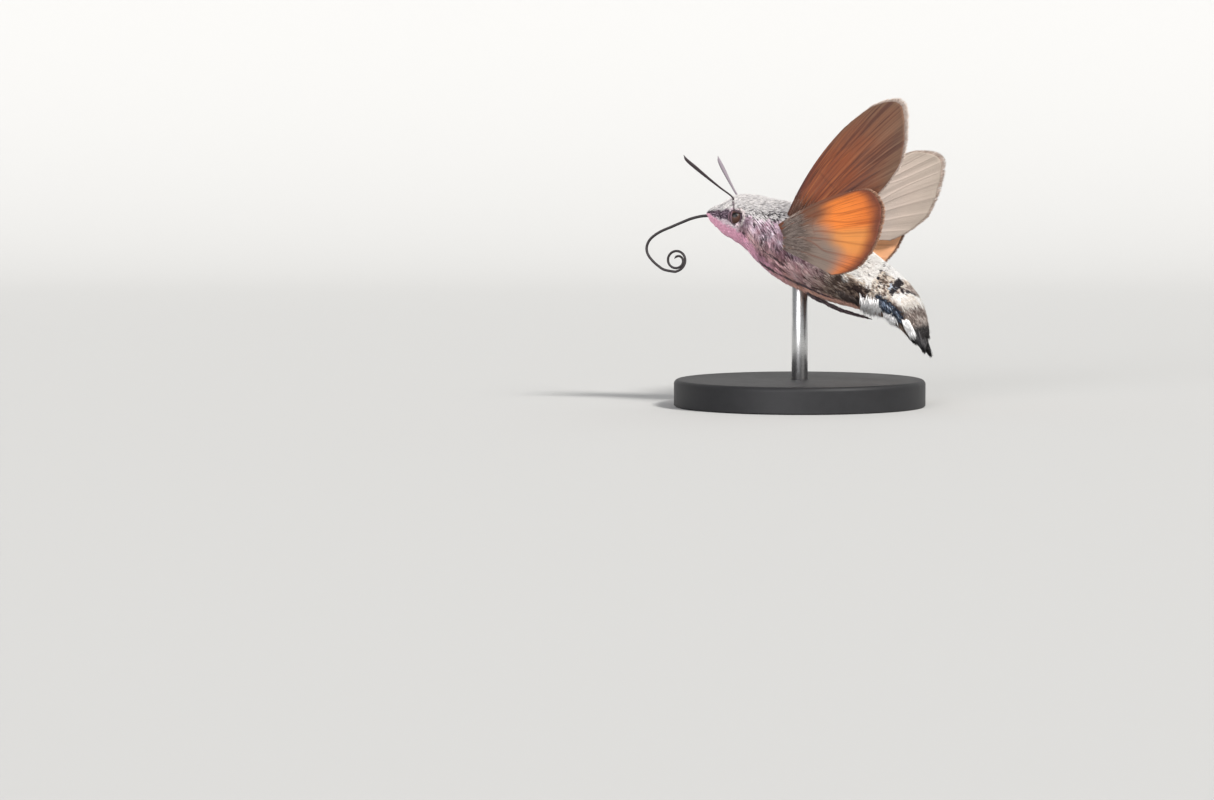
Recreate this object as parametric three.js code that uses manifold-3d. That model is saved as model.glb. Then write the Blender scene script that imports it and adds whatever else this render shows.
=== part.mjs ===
// Hummingbird hawk moth hovering with raised wings, life size, on a plain display stand.
// Millimetres, +Z up. The moth heads along -X and its left side is -Y. The origin is the centre of the
// underside of the stand's base.
import * as THREE from "three";
import { mergeVertices } from "three/addons/utils/BufferGeometryUtils.js";
import Module from "manifold-3d";

const wasm = await Module();
wasm.setup();

const GAP = 0.3; // clear space between neighbouring pieces
const V = (x, y, z) => new THREE.Vector3(x, y, z);
const rad = THREE.MathUtils.degToRad;
const lerp = THREE.MathUtils.lerp;
const spline = (points) => new THREE.CatmullRomCurve3(points, false, "catmullrom");

// The whole moth leans about its long axis, left wing up, on a pivot at this height.
const BANK = rad(8);
const BANK_HEIGHT = 15;

// Stations along the spine, from the tips of the palps to the end of the tail brush: x and z of the
// spine, half the body's width and half its height, both out to the tips of the flat coat.
const SPINE = [
  [-11.0, 21.4, 0.3, 0.25], // 0 tips of the palps
  [-10.3, 21.31, 0.8, 0.86],
  [-9.3, 21.12, 1.35, 1.53], // 2 brow
  [-8.35, 21.0, 1.85, 2.15],
  [-7.3, 20.94, 2.2, 2.63], // 4 eyes
  [-6.05, 20.7, 2.5, 2.9],
  [-4.75, 20.2, 3.0, 3.2], // 6 collar
  [-2.9, 19.3, 3.6, 3.85],
  [-0.62, 18.1, 3.9, 4.3], // 8 wing roots
  [2.6, 16.35, 3.75, 4.2],
  [5.3, 15.0, 3.5, 3.65], // 10 first rings of the abdomen
  [7.6, 13.9, 3.4, 3.15],
  [9.6, 12.9, 3.25, 2.7], // 12
  [11.3, 11.75, 2.9, 2.3],
  [12.5, 10.45, 2.45, 1.85], // 14
  [13.35, 9.1, 1.95, 1.38],
  [14.0, 7.75, 1.5, 0.92], // 16 root of the tail brush
  [14.5, 6.75, 1.9, 0.6],
  [14.95, 5.8, 1.5, 0.3], // 18
];
const NAPE = 5.1; // station where the head meets the thorax
const WAIST = 9.9; // where the thorax meets the abdomen
const BRUSH = 15.4; // where the tail brush starts
const AROUND = 32; // points round the body

// Head
const FACE_CUT = { x: -8.75, z: 21.1, lean: rad(27) }; // slanting plane between the palps and the head
const EYE = { x: -7.35, y: 1.7, z: 20.85, half: [0.86, 0.62, 0.8] };
const ANTENNA = { k: 3.6, phi: rad(42), length: 7.6, stem: 0.25, club: 0.4, sag: 0.3, clear: 0.42 };
const ANTENNA_AIM = { left: [-4.6, -5.2, 4.0], right: [-3.9, 4.3, 5.3] };

// The tongue: a free arc by hand, then a coil that shrinks as it turns.
const TONGUE = 0.25; // radius
const TONGUE_ARC = [
  [-11.6, 21.05], [-12.7, 20.78], [-13.9, 20.3], [-15.05, 19.8], [-16.2, 19.3], [-17.1, 18.7],
  [-17.6, 18.1], [-17.78, 17.4], [-17.6, 16.7], [-17.1, 16.05], [-16.4, 15.45], [-15.65, 15.0],
];
const TONGUE_SPLIT = 0.5; // share of the arc in the first length
const COIL = { x: -14.5, z: 16.1, from: 1.32, to: 0.5, start: rad(-106), turn: rad(610), drift: 1.5 };

// Wings, drawn flat: p runs from root to tip and q from the front edge back.
// A vein is [place between the front edge, 0, and the rear edge, 1; how far out it starts].
const MEMBRANE = 0.25; // half thickness
const VEIN = { height: 0.16, spread: 0.014, taper: 0.6 };
const WING_STEP = 1.15; // the hindwing lies this far below the forewing
const WING_ROOT = { x: -1.0, y: 2.6, z: 20.6 };
const WING_SPAN = 21.5;
const WING_POSE = {
  left: { sweep: rad(48.5), raise: rad(35.5), pitch: rad(86.5), bend: 2.8 },
  right: { sweep: rad(40.9), raise: rad(29.1), pitch: rad(107), bend: 1.3 },
};
const FOREWING = {
  root: [[-0.6, 0], [-0.6, 3.3]],
  front: [6.2, -2.5], // bend of the front edge
  back: [7.4, 4.6], // bend of the rear edge
  margin: [[13.4, -2.4], [18.1, -1.7], [21.2, 0.2], [20.9, 2.8], [18.5, 6.2], [14.3, 8.3]],
  veins: [[0.06, 0], [0.15, 0], [0.24, 0.5], [0.34, 0.5], [0.45, 0.52], [0.56, 0.5], [0.67, 0], [0.79, 0.32], [0.91, 0]],
  stations: 12,
  shift: [0, 0],
  fan: { left: 0, right: rad(1.5) },
  layer: 0,
};
const HINDWING = {
  root: [[-2.2, -0.8], [-2.2, 2.2]],
  front: [4.2, -1.9],
  back: [2.4, 4.8],
  margin: [[9.5, -1.5], [13.0, -0.9], [14.8, 1.2], [14.6, 3.3], [13.2, 5.6], [10.6, 7.2], [7.2, 7.9]],
  veins: [[0.07, 0], [0.2, 0], [0.34, 0.45], [0.48, 0.45], [0.62, 0], [0.76, 0.3], [0.9, 0]],
  stations: 10,
  shift: [1.6, 2.3],
  fan: { left: rad(25), right: rad(7) },
  layer: -WING_STEP,
};

// Legs: station, angle round the body from the back (degrees), and distance off the coat
const LEG = { hip: 0.42, foot: 0.25 };
const LEGS = {
  front: [[5.8, 144, 0], [6.4, 132, 0], [7.1, 127, 0], [7.8, 125, 0], [8.5, 128, 0]],
  middle: [[7.0, 161, 0], [7.7, 152, 0], [8.4, 147, 0], [9.0, 146, 0], [9.6, 149, 0], [10.2, 153, 0]],
  hind: [[9.34, 170, 0], [9.8, 169, 0], [10.4, 168, 0.2], [11.0, 167, 0.28], [11.6, 167, 0.28], [12.2, 167, 0.28]],
};

// A lock: [share of its length, share of its width, share of its thickness]
const LOCK = [[0, 0.6, 1], [0.35, 1, 1], [0.7, 0.8, 0.8], [0.9, 0.45, 0.5]];

// Side tufts: station and angle of the root (degrees), length and width. Each is a fan of locks, given
// by how far each lock rises and its share of the length
const TUFT = { sunk: 0.9, out: 0.42, thick: 0.7, tilt: rad(45), bend: -0.1 };
const TUFT_FAN = [[-0.6, 0.95], [-0.28, 1], [0.05, 0.9]];
const TUFTS = [
  [10.8, 117, 2.0, 1.2],
  [11.5, 119, 2.2, 1.3],
  [12.25, 124, 2.1, 1.3],
  [12.95, 127, 1.9, 1.2],
  [13.55, 124, 1.75, 1.1],
  [14.15, 116, 1.6, 1.0],
];

// Tail brush: a short core under two layers of locks that fan out to the sides
const BRUSH_CORE = 17.3;
const BRUSH_FAN = { root: 15.85, wide: 1.15, spread: 0.33, width: 1.15, thick: 0.62, length: 3.25, count: 9 };
const BRUSH_LAYERS = [[0.32, 1, -0.08], [-0.3, 0.9, 0.06]]; // height at the root, length, slope

// Stand
const BASE = { radius: 14, thick: 3, bevel: 0.5 };
const ROD = { radius: 0.9, socket: 1.6 };

const COLOURS = {
  coat: 0x9d938a, belly: 0xc9a9b4, abdomen: 0x8a7f76, brush: 0x2a2625, eye: 0x3a2418, horn: 0x2b2024,
  fore: 0x8a4a35, hind: 0xd8782e, stand: 0x3a3a3c, rod: 0xb0b0b0,
};

// A closed mesh from points and faces, turned so that it faces out
function closedMesh(points, faces) {
  let six = 0;
  for (let i = 0; i < faces.length; i += 3) {
    const [a, b, c] = [points[faces[i]], points[faces[i + 1]], points[faces[i + 2]]];
    six += a.dot(b.clone().cross(c));
  }
  if (six < 0) faces.reverse();
  const geometry = new THREE.BufferGeometry();
  geometry.setFromPoints(points);
  geometry.setIndex(faces);
  return geometry;
}

// A skin over rings of points that follow one another, closed by a fan at each end
function skin(rings, start, end) {
  const n = rings[0].length;
  const points = [...rings.flat(), start, end];
  const first = rings.length * n;
  const lastRing = first - n;
  const faces = [];
  for (let r = 0; r < lastRing; r += n) {
    for (let i = 0; i < n; i++) {
      const j = (i + 1) % n;
      faces.push(r + i, r + j, r + n + j, r + i, r + n + j, r + n + i);
    }
  }
  for (let i = 0; i < n; i++) {
    const j = (i + 1) % n;
    faces.push(first, j, i, first + 1, lastRing + i, lastRing + j);
  }
  return closedMesh(points, faces);
}

// A round tube of changing radius along a curve, with a flat start and a pointed or flat end
function tube(curve, steps, sides, radius, point = 0) {
  const frames = curve.computeFrenetFrames(steps, false);
  const rings = [];
  for (let i = 0; i <= steps; i++) {
    const u = i / steps;
    const centre = curve.getPointAt(u);
    const ring = [];
    for (let j = 0; j < sides; j++) {
      const a = (2 * Math.PI * j) / sides;
      ring.push(centre.clone().addScaledVector(frames.normals[i], Math.cos(a) * radius(u))
        .addScaledVector(frames.binormals[i], Math.sin(a) * radius(u)));
    }
    rings.push(ring);
  }
  const end = curve.getPointAt(1).addScaledVector(curve.getTangentAt(1), point);
  return skin(rings, curve.getPointAt(0), end);
}

function solidOf(geometry) {
  const bare = geometry.clone();
  bare.deleteAttribute("normal");
  bare.deleteAttribute("uv");
  const merged = mergeVertices(bare, 1e-4);
  return new wasm.Manifold(new wasm.Mesh({
    numProp: 3,
    vertProperties: new Float32Array(merged.attributes.position.array),
    triVerts: new Uint32Array(merged.index.array),
  }));
}

// A solid's largest closed body as a geometry
function geometryOf(solid) {
  const largest = solid.decompose().reduce((a, b) => (b.volume() > a.volume() ? b : a));
  const mesh = largest.getMesh();
  const geometry = new THREE.BufferGeometry();
  geometry.setAttribute("position", new THREE.BufferAttribute(mesh.vertProperties, 3));
  geometry.setIndex(new THREE.BufferAttribute(mesh.triVerts, 1));
  return geometry;
}

// The body's surface
const spineCurve = spline(SPINE.map(([x, z]) => V(x, 0, z)));
const girthCurve = spline(SPINE.map(([, , w, h]) => V(w, h, 0)));
const share = (k) => k / (SPINE.length - 1);

// The spine at station k: its point, direction, half width and half height
function station(k) {
  const centre = spineCurve.getPoint(share(k));
  const along = spineCurve.getTangent(share(k));
  const girth = girthCurve.getPoint(share(k));
  return { centre, along, up: V(-along.z, 0, along.x), half: girth.x, high: girth.y };
}

// A point on the coat: phi is the angle from the back over the moth's left side, and off is how far
// outside the coat the point lies
function onBody(k, phi, off = 0) {
  const { centre, up, half, high } = station(k);
  const y = -Math.sin(phi);
  const z = Math.cos(phi);
  const out = V(0, y / half, 0).addScaledVector(up, z / high).normalize();
  return centre.setY(y * half).addScaledVector(up, z * high).addScaledVector(out, off);
}

// A length of the body whose end rings stand half a gap inside the stations that part it
function bodyLength(from, to, steps, off = 0) {
  const rings = [];
  const inset = (i) => (i === 0 ? GAP / 2 : i === steps ? -GAP / 2 : 0);
  for (let i = 0; i <= steps; i++) {
    const k = lerp(from, to, i / steps);
    const shift = station(k).along.multiplyScalar(inset(i));
    rings.push(Array.from({ length: AROUND }, (_, j) => onBody(k, (2 * Math.PI * j) / AROUND, off).add(shift)));
  }
  const cap = (k, i) => station(k).centre.addScaledVector(station(k).along, inset(i));
  return skin(rings, cap(from, 0), cap(to, steps));
}

const inflatedThorax = solidOf(bodyLength(4.6, 11.4, 20, GAP));

// A block that fills the space behind the slanting face plane, moved along x
function behindFace(shift) {
  const size = 30; // larger than the head
  const box = new THREE.BoxGeometry(size, size, size);
  box.translate(size / 2, 0, 0).rotateY(-FACE_CUT.lean).translate(FACE_CUT.x + shift, 0, FACE_CUT.z);
  return solidOf(box);
}

const moth = new THREE.Group();
const lean = new THREE.Group();
lean.position.z = BANK_HEIGHT;
lean.rotation.x = -BANK;
moth.position.z = -BANK_HEIGHT;
lean.add(moth);
const stand = new THREE.Group();

function add(group, name, geometry, colour, roughness = 0.8, metalness = 0) {
  const material = new THREE.MeshStandardMaterial({ color: colour, roughness, metalness, flatShading: true });
  const mesh = new THREE.Mesh(geometry, material);
  mesh.name = name;
  group.add(mesh);
}

const SIDES = { left: -1, right: 1 };

// Head and palps: one snout parted by the slanting plane and by the middle
function makeHead() {
  const whole = solidOf(bodyLength(0, NAPE, 14));
  const front = whole.subtract(behindFace(-GAP / 2));
  let head = whole.intersect(behindFace(GAP / 2));
  for (const [side, sign] of Object.entries(SIDES)) {
    const eye = new THREE.SphereGeometry(1, 18, 12).rotateX(Math.PI / 2);
    const socket = eye.clone().scale(...EYE.half.map((r) => r + GAP)).translate(EYE.x, sign * EYE.y, EYE.z);
    head = head.subtract(solidOf(socket));
    add(moth, "eye_" + side, eye.scale(...EYE.half).translate(EYE.x, sign * EYE.y, EYE.z), COLOURS.eye, 0.2);
    const size = 20; // larger than a palp
    const keep = new THREE.BoxGeometry(size, size, size).translate(EYE.x, (sign * (size + GAP)) / 2, EYE.z);
    add(moth, "palp_" + side, geometryOf(front.intersect(solidOf(keep))), COLOURS.belly);
  }
  add(moth, "head", geometryOf(head), COLOURS.coat);
}

function makeAntennae() {
  for (const [side, sign] of Object.entries(SIDES)) {
    const root = onBody(ANTENNA.k, -sign * ANTENNA.phi, ANTENNA.clear);
    const aim = V(...ANTENNA_AIM[side]).normalize();
    const sag = V(0, 0, 1).addScaledVector(aim, -aim.z).normalize();
    const points = [0, 0.25, 0.5, 0.75, 1].map((f) =>
      root.clone().addScaledVector(aim, f * ANTENNA.length).addScaledVector(sag, -ANTENNA.sag * f * (1 - f)));
    const swell = (u) => ANTENNA.stem + (ANTENNA.club - ANTENNA.stem) * Math.sin(Math.PI * Math.pow(u, 1.8));
    const curve = spline(points);
    add(moth, "antenna_" + side, tube(curve, 14, 8, (u) => swell(u) * (u > 0.97 ? 0.6 : 1), 0.35), COLOURS.horn);
  }
}

// The tongue in three lengths, each a gap apart
function makeTongue() {
  const coil = [];
  const coilSteps = 30;
  for (let i = 0; i <= coilSteps; i++) {
    const f = i / coilSteps;
    const a = COIL.start + COIL.turn * f;
    const r = lerp(COIL.from, COIL.to, f);
    coil.push(V(COIL.x + r * Math.cos(a), COIL.drift * f, COIL.z + r * Math.sin(a)));
  }
  const arc = spline(TONGUE_ARC.map(([x, z]) => V(x, 0, z)));
  const length = arc.getLength();
  const part = (from, to, count) => spline(
    Array.from({ length: count }, (_, i) => arc.getPointAt(lerp(from, to, i / (count - 1)))));
  const split = TONGUE_SPLIT * length;
  const round = () => TONGUE;
  add(moth, "tongue_base", tube(part(0, (split - 0.6 * GAP) / length, 8), 12, 8, round), COLOURS.horn);
  add(moth, "tongue_bend", tube(part((split + 0.6 * GAP) / length, 1 - GAP / length, 8), 14, 8, round), COLOURS.horn);
  add(moth, "tongue_coil", tube(spline(coil), 34, 8, round, 0.2), COLOURS.horn);
}

// A point of a wing: its place in the flat plan, height above it, and the side of the moth
function onWing(side, p, q, height) {
  const pose = WING_POSE[side];
  const bent = height + pose.bend * (Math.max(p, 0) / WING_SPAN) ** 2;
  const point = V(q, p, bent);
  point.applyAxisAngle(V(0, 1, 0), pose.pitch);
  point.applyAxisAngle(V(1, 0, 0), pose.raise);
  point.applyAxisAngle(V(0, 0, 1), -pose.sweep);
  const sign = SIDES[side];
  return V(WING_ROOT.x + point.x, sign * (WING_ROOT.y + point.y), WING_ROOT.z + point.z);
}

// A line of the plan from the root to the margin, as points [p, q]; t runs from front edge to rear edge
function planLine(plan, margin, t, stations) {
  const mix = (a, b) => a.map((v, i) => lerp(v, b[i], t));
  const start = mix(...plan.root);
  const control = mix(plan.front, plan.back);
  const end = margin.getPoint(t);
  return Array.from({ length: stations }, (_, i) => {
    const f = i / (stations - 1);
    const blend = (a, b, c) => (1 - f) ** 2 * a + 2 * f * (1 - f) * b + f ** 2 * c;
    return [blend(start[0], control[0], end.x), blend(start[1], control[1], end.y)];
  });
}

// The plan's lines from front edge to rear edge, as [place, height of the vein, where it starts]: each
// vein is a raised line between two flat ones
function wingLines(plan) {
  const { height, spread } = VEIN;
  const ridges = plan.veins.flatMap(([t, start]) => [[t - spread, 0, 0], [t, height, start], [t + spread, 0, 0]]);
  return [[0, height, 0], ...ridges, [1, 0, 0]];
}

// A wing: lines from root to margin, each with an upper and a lower row of points, split into
// triangles alike on both faces
function wing(side, plan) {
  const table = wingLines(plan);
  const lines = table.length;
  const stations = plan.stations;
  const margin = spline(plan.margin.map(([p, q]) => V(p, q, 0)));
  const fan = plan.fan[side];
  const turned = ([p, q]) => [
    plan.shift[0] + p * Math.cos(fan) - q * Math.sin(fan),
    plan.shift[1] + p * Math.sin(fan) + q * Math.cos(fan),
  ];
  const upper = [];
  const lower = [];
  for (const [t, height, start] of table) {
    planLine(plan, margin, t, stations).forEach((point, j) => {
      const f = j / (stations - 1);
      const thick = MEMBRANE + (f < start ? 0 : height * (1 - VEIN.taper * f));
      const [p, q] = turned(point);
      upper.push(onWing(side, p, q, plan.layer + thick));
      lower.push(onWing(side, p, q, plan.layer - thick));
    });
  }
  const faces = [];
  const below = upper.length;
  const edge = (a, b) => faces.push(a, b, below + b, a, below + b, below + a);
  for (let i = 0; i + 1 < lines; i++) {
    for (let j = 0; j + 1 < stations; j++) {
      const a = i * stations + j;
      const b = a + 1;
      const c = a + stations;
      const d = c + 1;
      faces.push(a, c, d, a, d, b);
      faces.push(below + a, below + d, below + c, below + a, below + b, below + d);
    }
    edge((i + 1) * stations, i * stations);
    edge((i + 1) * stations - 1, (i + 2) * stations - 1);
  }
  for (let j = 0; j + 1 < stations; j++) {
    edge(j, j + 1);
    const last = (lines - 1) * stations + j;
    edge(last + 1, last);
  }
  return closedMesh([...upper, ...lower], faces);
}

function makeWings() {
  for (const side of Object.keys(SIDES)) {
    const fore = solidOf(wing(side, FOREWING)).subtract(inflatedThorax);
    const hind = solidOf(wing(side, HINDWING)).subtract(inflatedThorax);
    add(moth, "forewing_" + side, geometryOf(fore), COLOURS.fore);
    add(moth, "hindwing_" + side, geometryOf(hind), COLOURS.hind);
  }
}

function makeLegs() {
  for (const [side, sign] of Object.entries(SIDES)) {
    for (const [pair, route] of Object.entries(LEGS)) {
      const points = route.map(([k, degrees, off]) => onBody(k, -sign * rad(degrees), GAP + LEG.hip + off));
      const curve = spline(points);
      const radius = (u) => lerp(LEG.hip, LEG.foot, Math.sqrt(u));
      add(moth, "leg_" + pair + "_" + side, tube(curve, 14, 8, radius, 0.2), COLOURS.horn);
    }
  }
}

// A flat tapered lock from its root along a direction, bending towards its outer face
function lock(root, along, out, length, width, thick, bend) {
  const across = along.clone().cross(out).normalize();
  const centre = (f) => root.clone().addScaledVector(along, length * f).addScaledVector(out, bend * f * f);
  const rings = LOCK.map(([f, w, t]) => {
    const c = centre(f);
    return [[1, 0], [0, 1], [-1, 0], [0, -1]].map(([a, b]) =>
      c.clone().addScaledVector(across, (a * w * width) / 2).addScaledVector(out, (b * t * thick) / 2));
  });
  return skin(rings, root, centre(1));
}

// The flat locks of one side tuft, fanned over the side of the abdomen
function tuftLocks(sign, [k, degrees, length, width]) {
  const { along, up } = station(k);
  const out = V(0, sign, 0);
  const root = onBody(k, -sign * rad(degrees), -TUFT.sunk);
  const face = up.clone().multiplyScalar(Math.cos(TUFT.tilt)).addScaledVector(out, Math.sin(TUFT.tilt));
  return TUFT_FAN.map(([rise, share]) => {
    const aim = along.clone().addScaledVector(out, TUFT.out).addScaledVector(up, rise).normalize();
    return lock(root, aim, face, share * length + TUFT.sunk, width, TUFT.thick, TUFT.bend);
  });
}

// The locks of the tail brush, the outer ones shorter and aimed further out
function brushLocks() {
  const { along, up, centre } = station(BRUSH_FAN.root);
  return BRUSH_LAYERS.flatMap(([height, share, slope]) =>
    Array.from({ length: BRUSH_FAN.count }, (_, i) => {
      const side = lerp(-1, 1, i / (BRUSH_FAN.count - 1));
      const root = centre.clone().addScaledVector(up, height * (1 - 0.4 * side * side)).setY(side * BRUSH_FAN.wide);
      const aim = along.clone().addScaledVector(up, slope).setY(side * BRUSH_FAN.spread).normalize();
      const length = BRUSH_FAN.length * share * (1 - 0.16 * side * side);
      return lock(root, aim, up, length, BRUSH_FAN.width, BRUSH_FAN.thick, 0);
    }));
}

function makeAbdomen() {
  let abdomen = solidOf(bodyLength(WAIST, BRUSH, 14));
  for (const tuft of TUFTS) {
    for (const sign of Object.values(SIDES)) {
      for (const piece of tuftLocks(sign, tuft)) abdomen = abdomen.add(solidOf(piece));
    }
  }
  let brush = solidOf(bodyLength(BRUSH, BRUSH_CORE, 5));
  for (const piece of brushLocks()) brush = brush.add(solidOf(piece));
  const clear = solidOf(bodyLength(BRUSH, SPINE.length - 1, 7, GAP));
  const back = station(BRUSH).along.multiplyScalar(-1.02 * GAP).toArray();
  abdomen = abdomen.subtract(clear).subtract(clear.translate(back));
  add(moth, "abdomen", geometryOf(abdomen), COLOURS.abdomen);
  add(moth, "tail_brush", geometryOf(brush), COLOURS.brush);
}

function makeThorax() {
  add(moth, "thorax", bodyLength(NAPE, WAIST, 12), COLOURS.coat);
}

function makeStand() {
  const profile = [[0, 0], [BASE.radius, 0], [BASE.radius, BASE.thick - BASE.bevel],
    [BASE.radius - BASE.bevel, BASE.thick], [0, BASE.thick]].map(([r, z]) => new THREE.Vector2(r, z));
  const disc = new THREE.LatheGeometry(profile, 64).rotateX(Math.PI / 2);
  const foot = BASE.thick - ROD.socket;
  const hole = new THREE.CylinderGeometry(ROD.radius + GAP, ROD.radius + GAP, 2 * ROD.socket + 2 * GAP, 24)
    .rotateX(Math.PI / 2).translate(0, 0, BASE.thick);
  add(stand, "stand_base", geometryOf(solidOf(disc).subtract(solidOf(hole))), COLOURS.stand, 0.5);
  const top = BANK_HEIGHT - 2;
  const rod = new THREE.CylinderGeometry(ROD.radius, ROD.radius, top - foot, 24)
    .rotateX(Math.PI / 2).translate(0, 0, (top + foot) / 2);
  lean.updateMatrixWorld(true);
  const belly = bodyLength(4.6, 11.4, 20, GAP).applyMatrix4(moth.matrixWorld);
  add(stand, "stand_rod", geometryOf(solidOf(rod).subtract(solidOf(belly))), COLOURS.rod, 0.3, 1);
}

makeHead();
makeAntennae();
makeTongue();
makeThorax();
makeWings();
makeLegs();
makeAbdomen();
makeStand();

const model = new THREE.Group();
model.add(lean, stand);
export default model;
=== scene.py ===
# %% [markdown]
# # A hummingbird hawk moth, modelled and dressed
#
# The moth hovers with its wings raised, its long tongue half coiled and its tail brush spread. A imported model
# already holds its true shape and size. This lesson dresses that model: a skin, a coat of small flat scales,
# glossy eyes, veined wings with a fringe, ringed antennae and a plain display stand.
#
# Everything is in metres, but the animal is only three centimetres long, so its sizes are written in
# millimetres and turned into metres in one place, where a mesh is made.

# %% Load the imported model
import math

import bpy
import numpy as np
from mathutils import Matrix, Vector


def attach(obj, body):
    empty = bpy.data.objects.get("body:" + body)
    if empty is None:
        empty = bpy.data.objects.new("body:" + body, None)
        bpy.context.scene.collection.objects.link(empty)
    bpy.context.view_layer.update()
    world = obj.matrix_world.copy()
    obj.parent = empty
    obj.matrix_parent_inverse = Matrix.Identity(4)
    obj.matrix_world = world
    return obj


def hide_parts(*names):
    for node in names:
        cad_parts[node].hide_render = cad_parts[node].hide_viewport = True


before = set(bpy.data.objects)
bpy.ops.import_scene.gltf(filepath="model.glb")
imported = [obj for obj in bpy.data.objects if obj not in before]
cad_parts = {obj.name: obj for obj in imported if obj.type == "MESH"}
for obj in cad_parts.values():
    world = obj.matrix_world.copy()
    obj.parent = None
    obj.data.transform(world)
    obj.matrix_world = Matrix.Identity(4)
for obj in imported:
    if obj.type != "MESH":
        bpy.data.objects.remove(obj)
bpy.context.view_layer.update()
print("the packed model has", len(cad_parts), "nodes")

MM = 0.001
rng = np.random.default_rng(7)


# %% [markdown]
# ## The camera
#
# The photograph was taken with a long lens, a little above the moth and a little behind its left side. A long
# lens flattens depth, so the camera stands far off. It is found from one known point: the wing roots lie at
# a certain pixel, and one millimetre is nine pixels there.

# %% Place the camera
AZIMUTH, ELEVATION = math.radians(16), math.radians(4)
DISTANCE = 600.0  # millimetres from the wing roots
PIXELS_PER_MM = 9.0
IMAGE = (1214, 800)
ROOT_PIXEL = (800, 231)
ROOT_POINT = Vector((0, 0, 19.5))

flat_way = math.cos(ELEVATION)
back = Vector((math.sin(AZIMUTH) * flat_way, -math.cos(AZIMUTH) * flat_way, math.sin(ELEVATION)))
right = Vector((math.cos(AZIMUTH), math.sin(AZIMUTH), 0))
upward = back.cross(right)
aim = ROOT_POINT - right * (ROOT_PIXEL[0] - IMAGE[0] / 2) / PIXELS_PER_MM
aim = aim + upward * (ROOT_PIXEL[1] - IMAGE[1] / 2) / PIXELS_PER_MM

camera = bpy.data.objects.new("camera", bpy.data.cameras.new("camera"))
bpy.context.scene.collection.objects.link(camera)
camera.data.sensor_width = 36
camera.data.lens = PIXELS_PER_MM * DISTANCE / IMAGE[0] * camera.data.sensor_width
camera.data.clip_start, camera.data.clip_end = 0.01, 20
camera.location = (aim + back * DISTANCE) * MM
camera.rotation_euler = (-back).to_track_quat("-Z", "Y").to_euler()
bpy.context.scene.camera = camera
print("lens", round(camera.data.lens, 1), "mm, camera height", round(camera.location.z * 1000), "mm")


# %% [markdown]
# ## Formulas as shader nodes
#
# A procedural finish is a formula: "brown, and darker where the vein is". Written as nodes it takes dozens
# of little boxes. The class below wraps the output of a node, so that `a * 2 + b` adds the Math nodes by
# itself. Colours don't go through Math nodes, which would turn them grey, but through Mix nodes.

# %% A socket that can be added, multiplied and compared
class Term:
    """The output of a node, as a term of a formula. Each operator adds one Math node."""

    def __init__(self, paint, socket):
        self.paint = paint
        self.socket = socket

    def math(self, operation, *others):
        return self.paint.node("ShaderNodeMath", {"operation": operation}, [self, *others])

    def __add__(self, other):
        return self.math("ADD", other)

    def __sub__(self, other):
        return self.math("SUBTRACT", other)

    def __mul__(self, other):
        return self.math("MULTIPLY", other)

    def __truediv__(self, other):
        return self.math("DIVIDE", other)

    def __pow__(self, other):
        return self.math("POWER", other)

    def __rsub__(self, other):
        return self.paint.node("ShaderNodeMath", {"operation": "SUBTRACT"}, [other, self])

    __radd__ = __add__
    __rmul__ = __mul__

    def smooth(self, start, end):
        """0 below start, 1 above end, and a smooth step between them; start may be the larger."""
        low, high, flip = (start, end, False) if start <= end else (end, start, True)
        step = self.paint.node("ShaderNodeMapRange", {"interpolation_type": "SMOOTHSTEP"},
                               {"Value": self, "From Min": low, "From Max": high})
        return 1 - step if flip else step

    def band(self, middle, half, soft):
        """1 within half of the middle, falling smoothly to 0 over soft."""
        return (self - middle).math("ABSOLUTE").smooth(half + soft, half)


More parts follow.
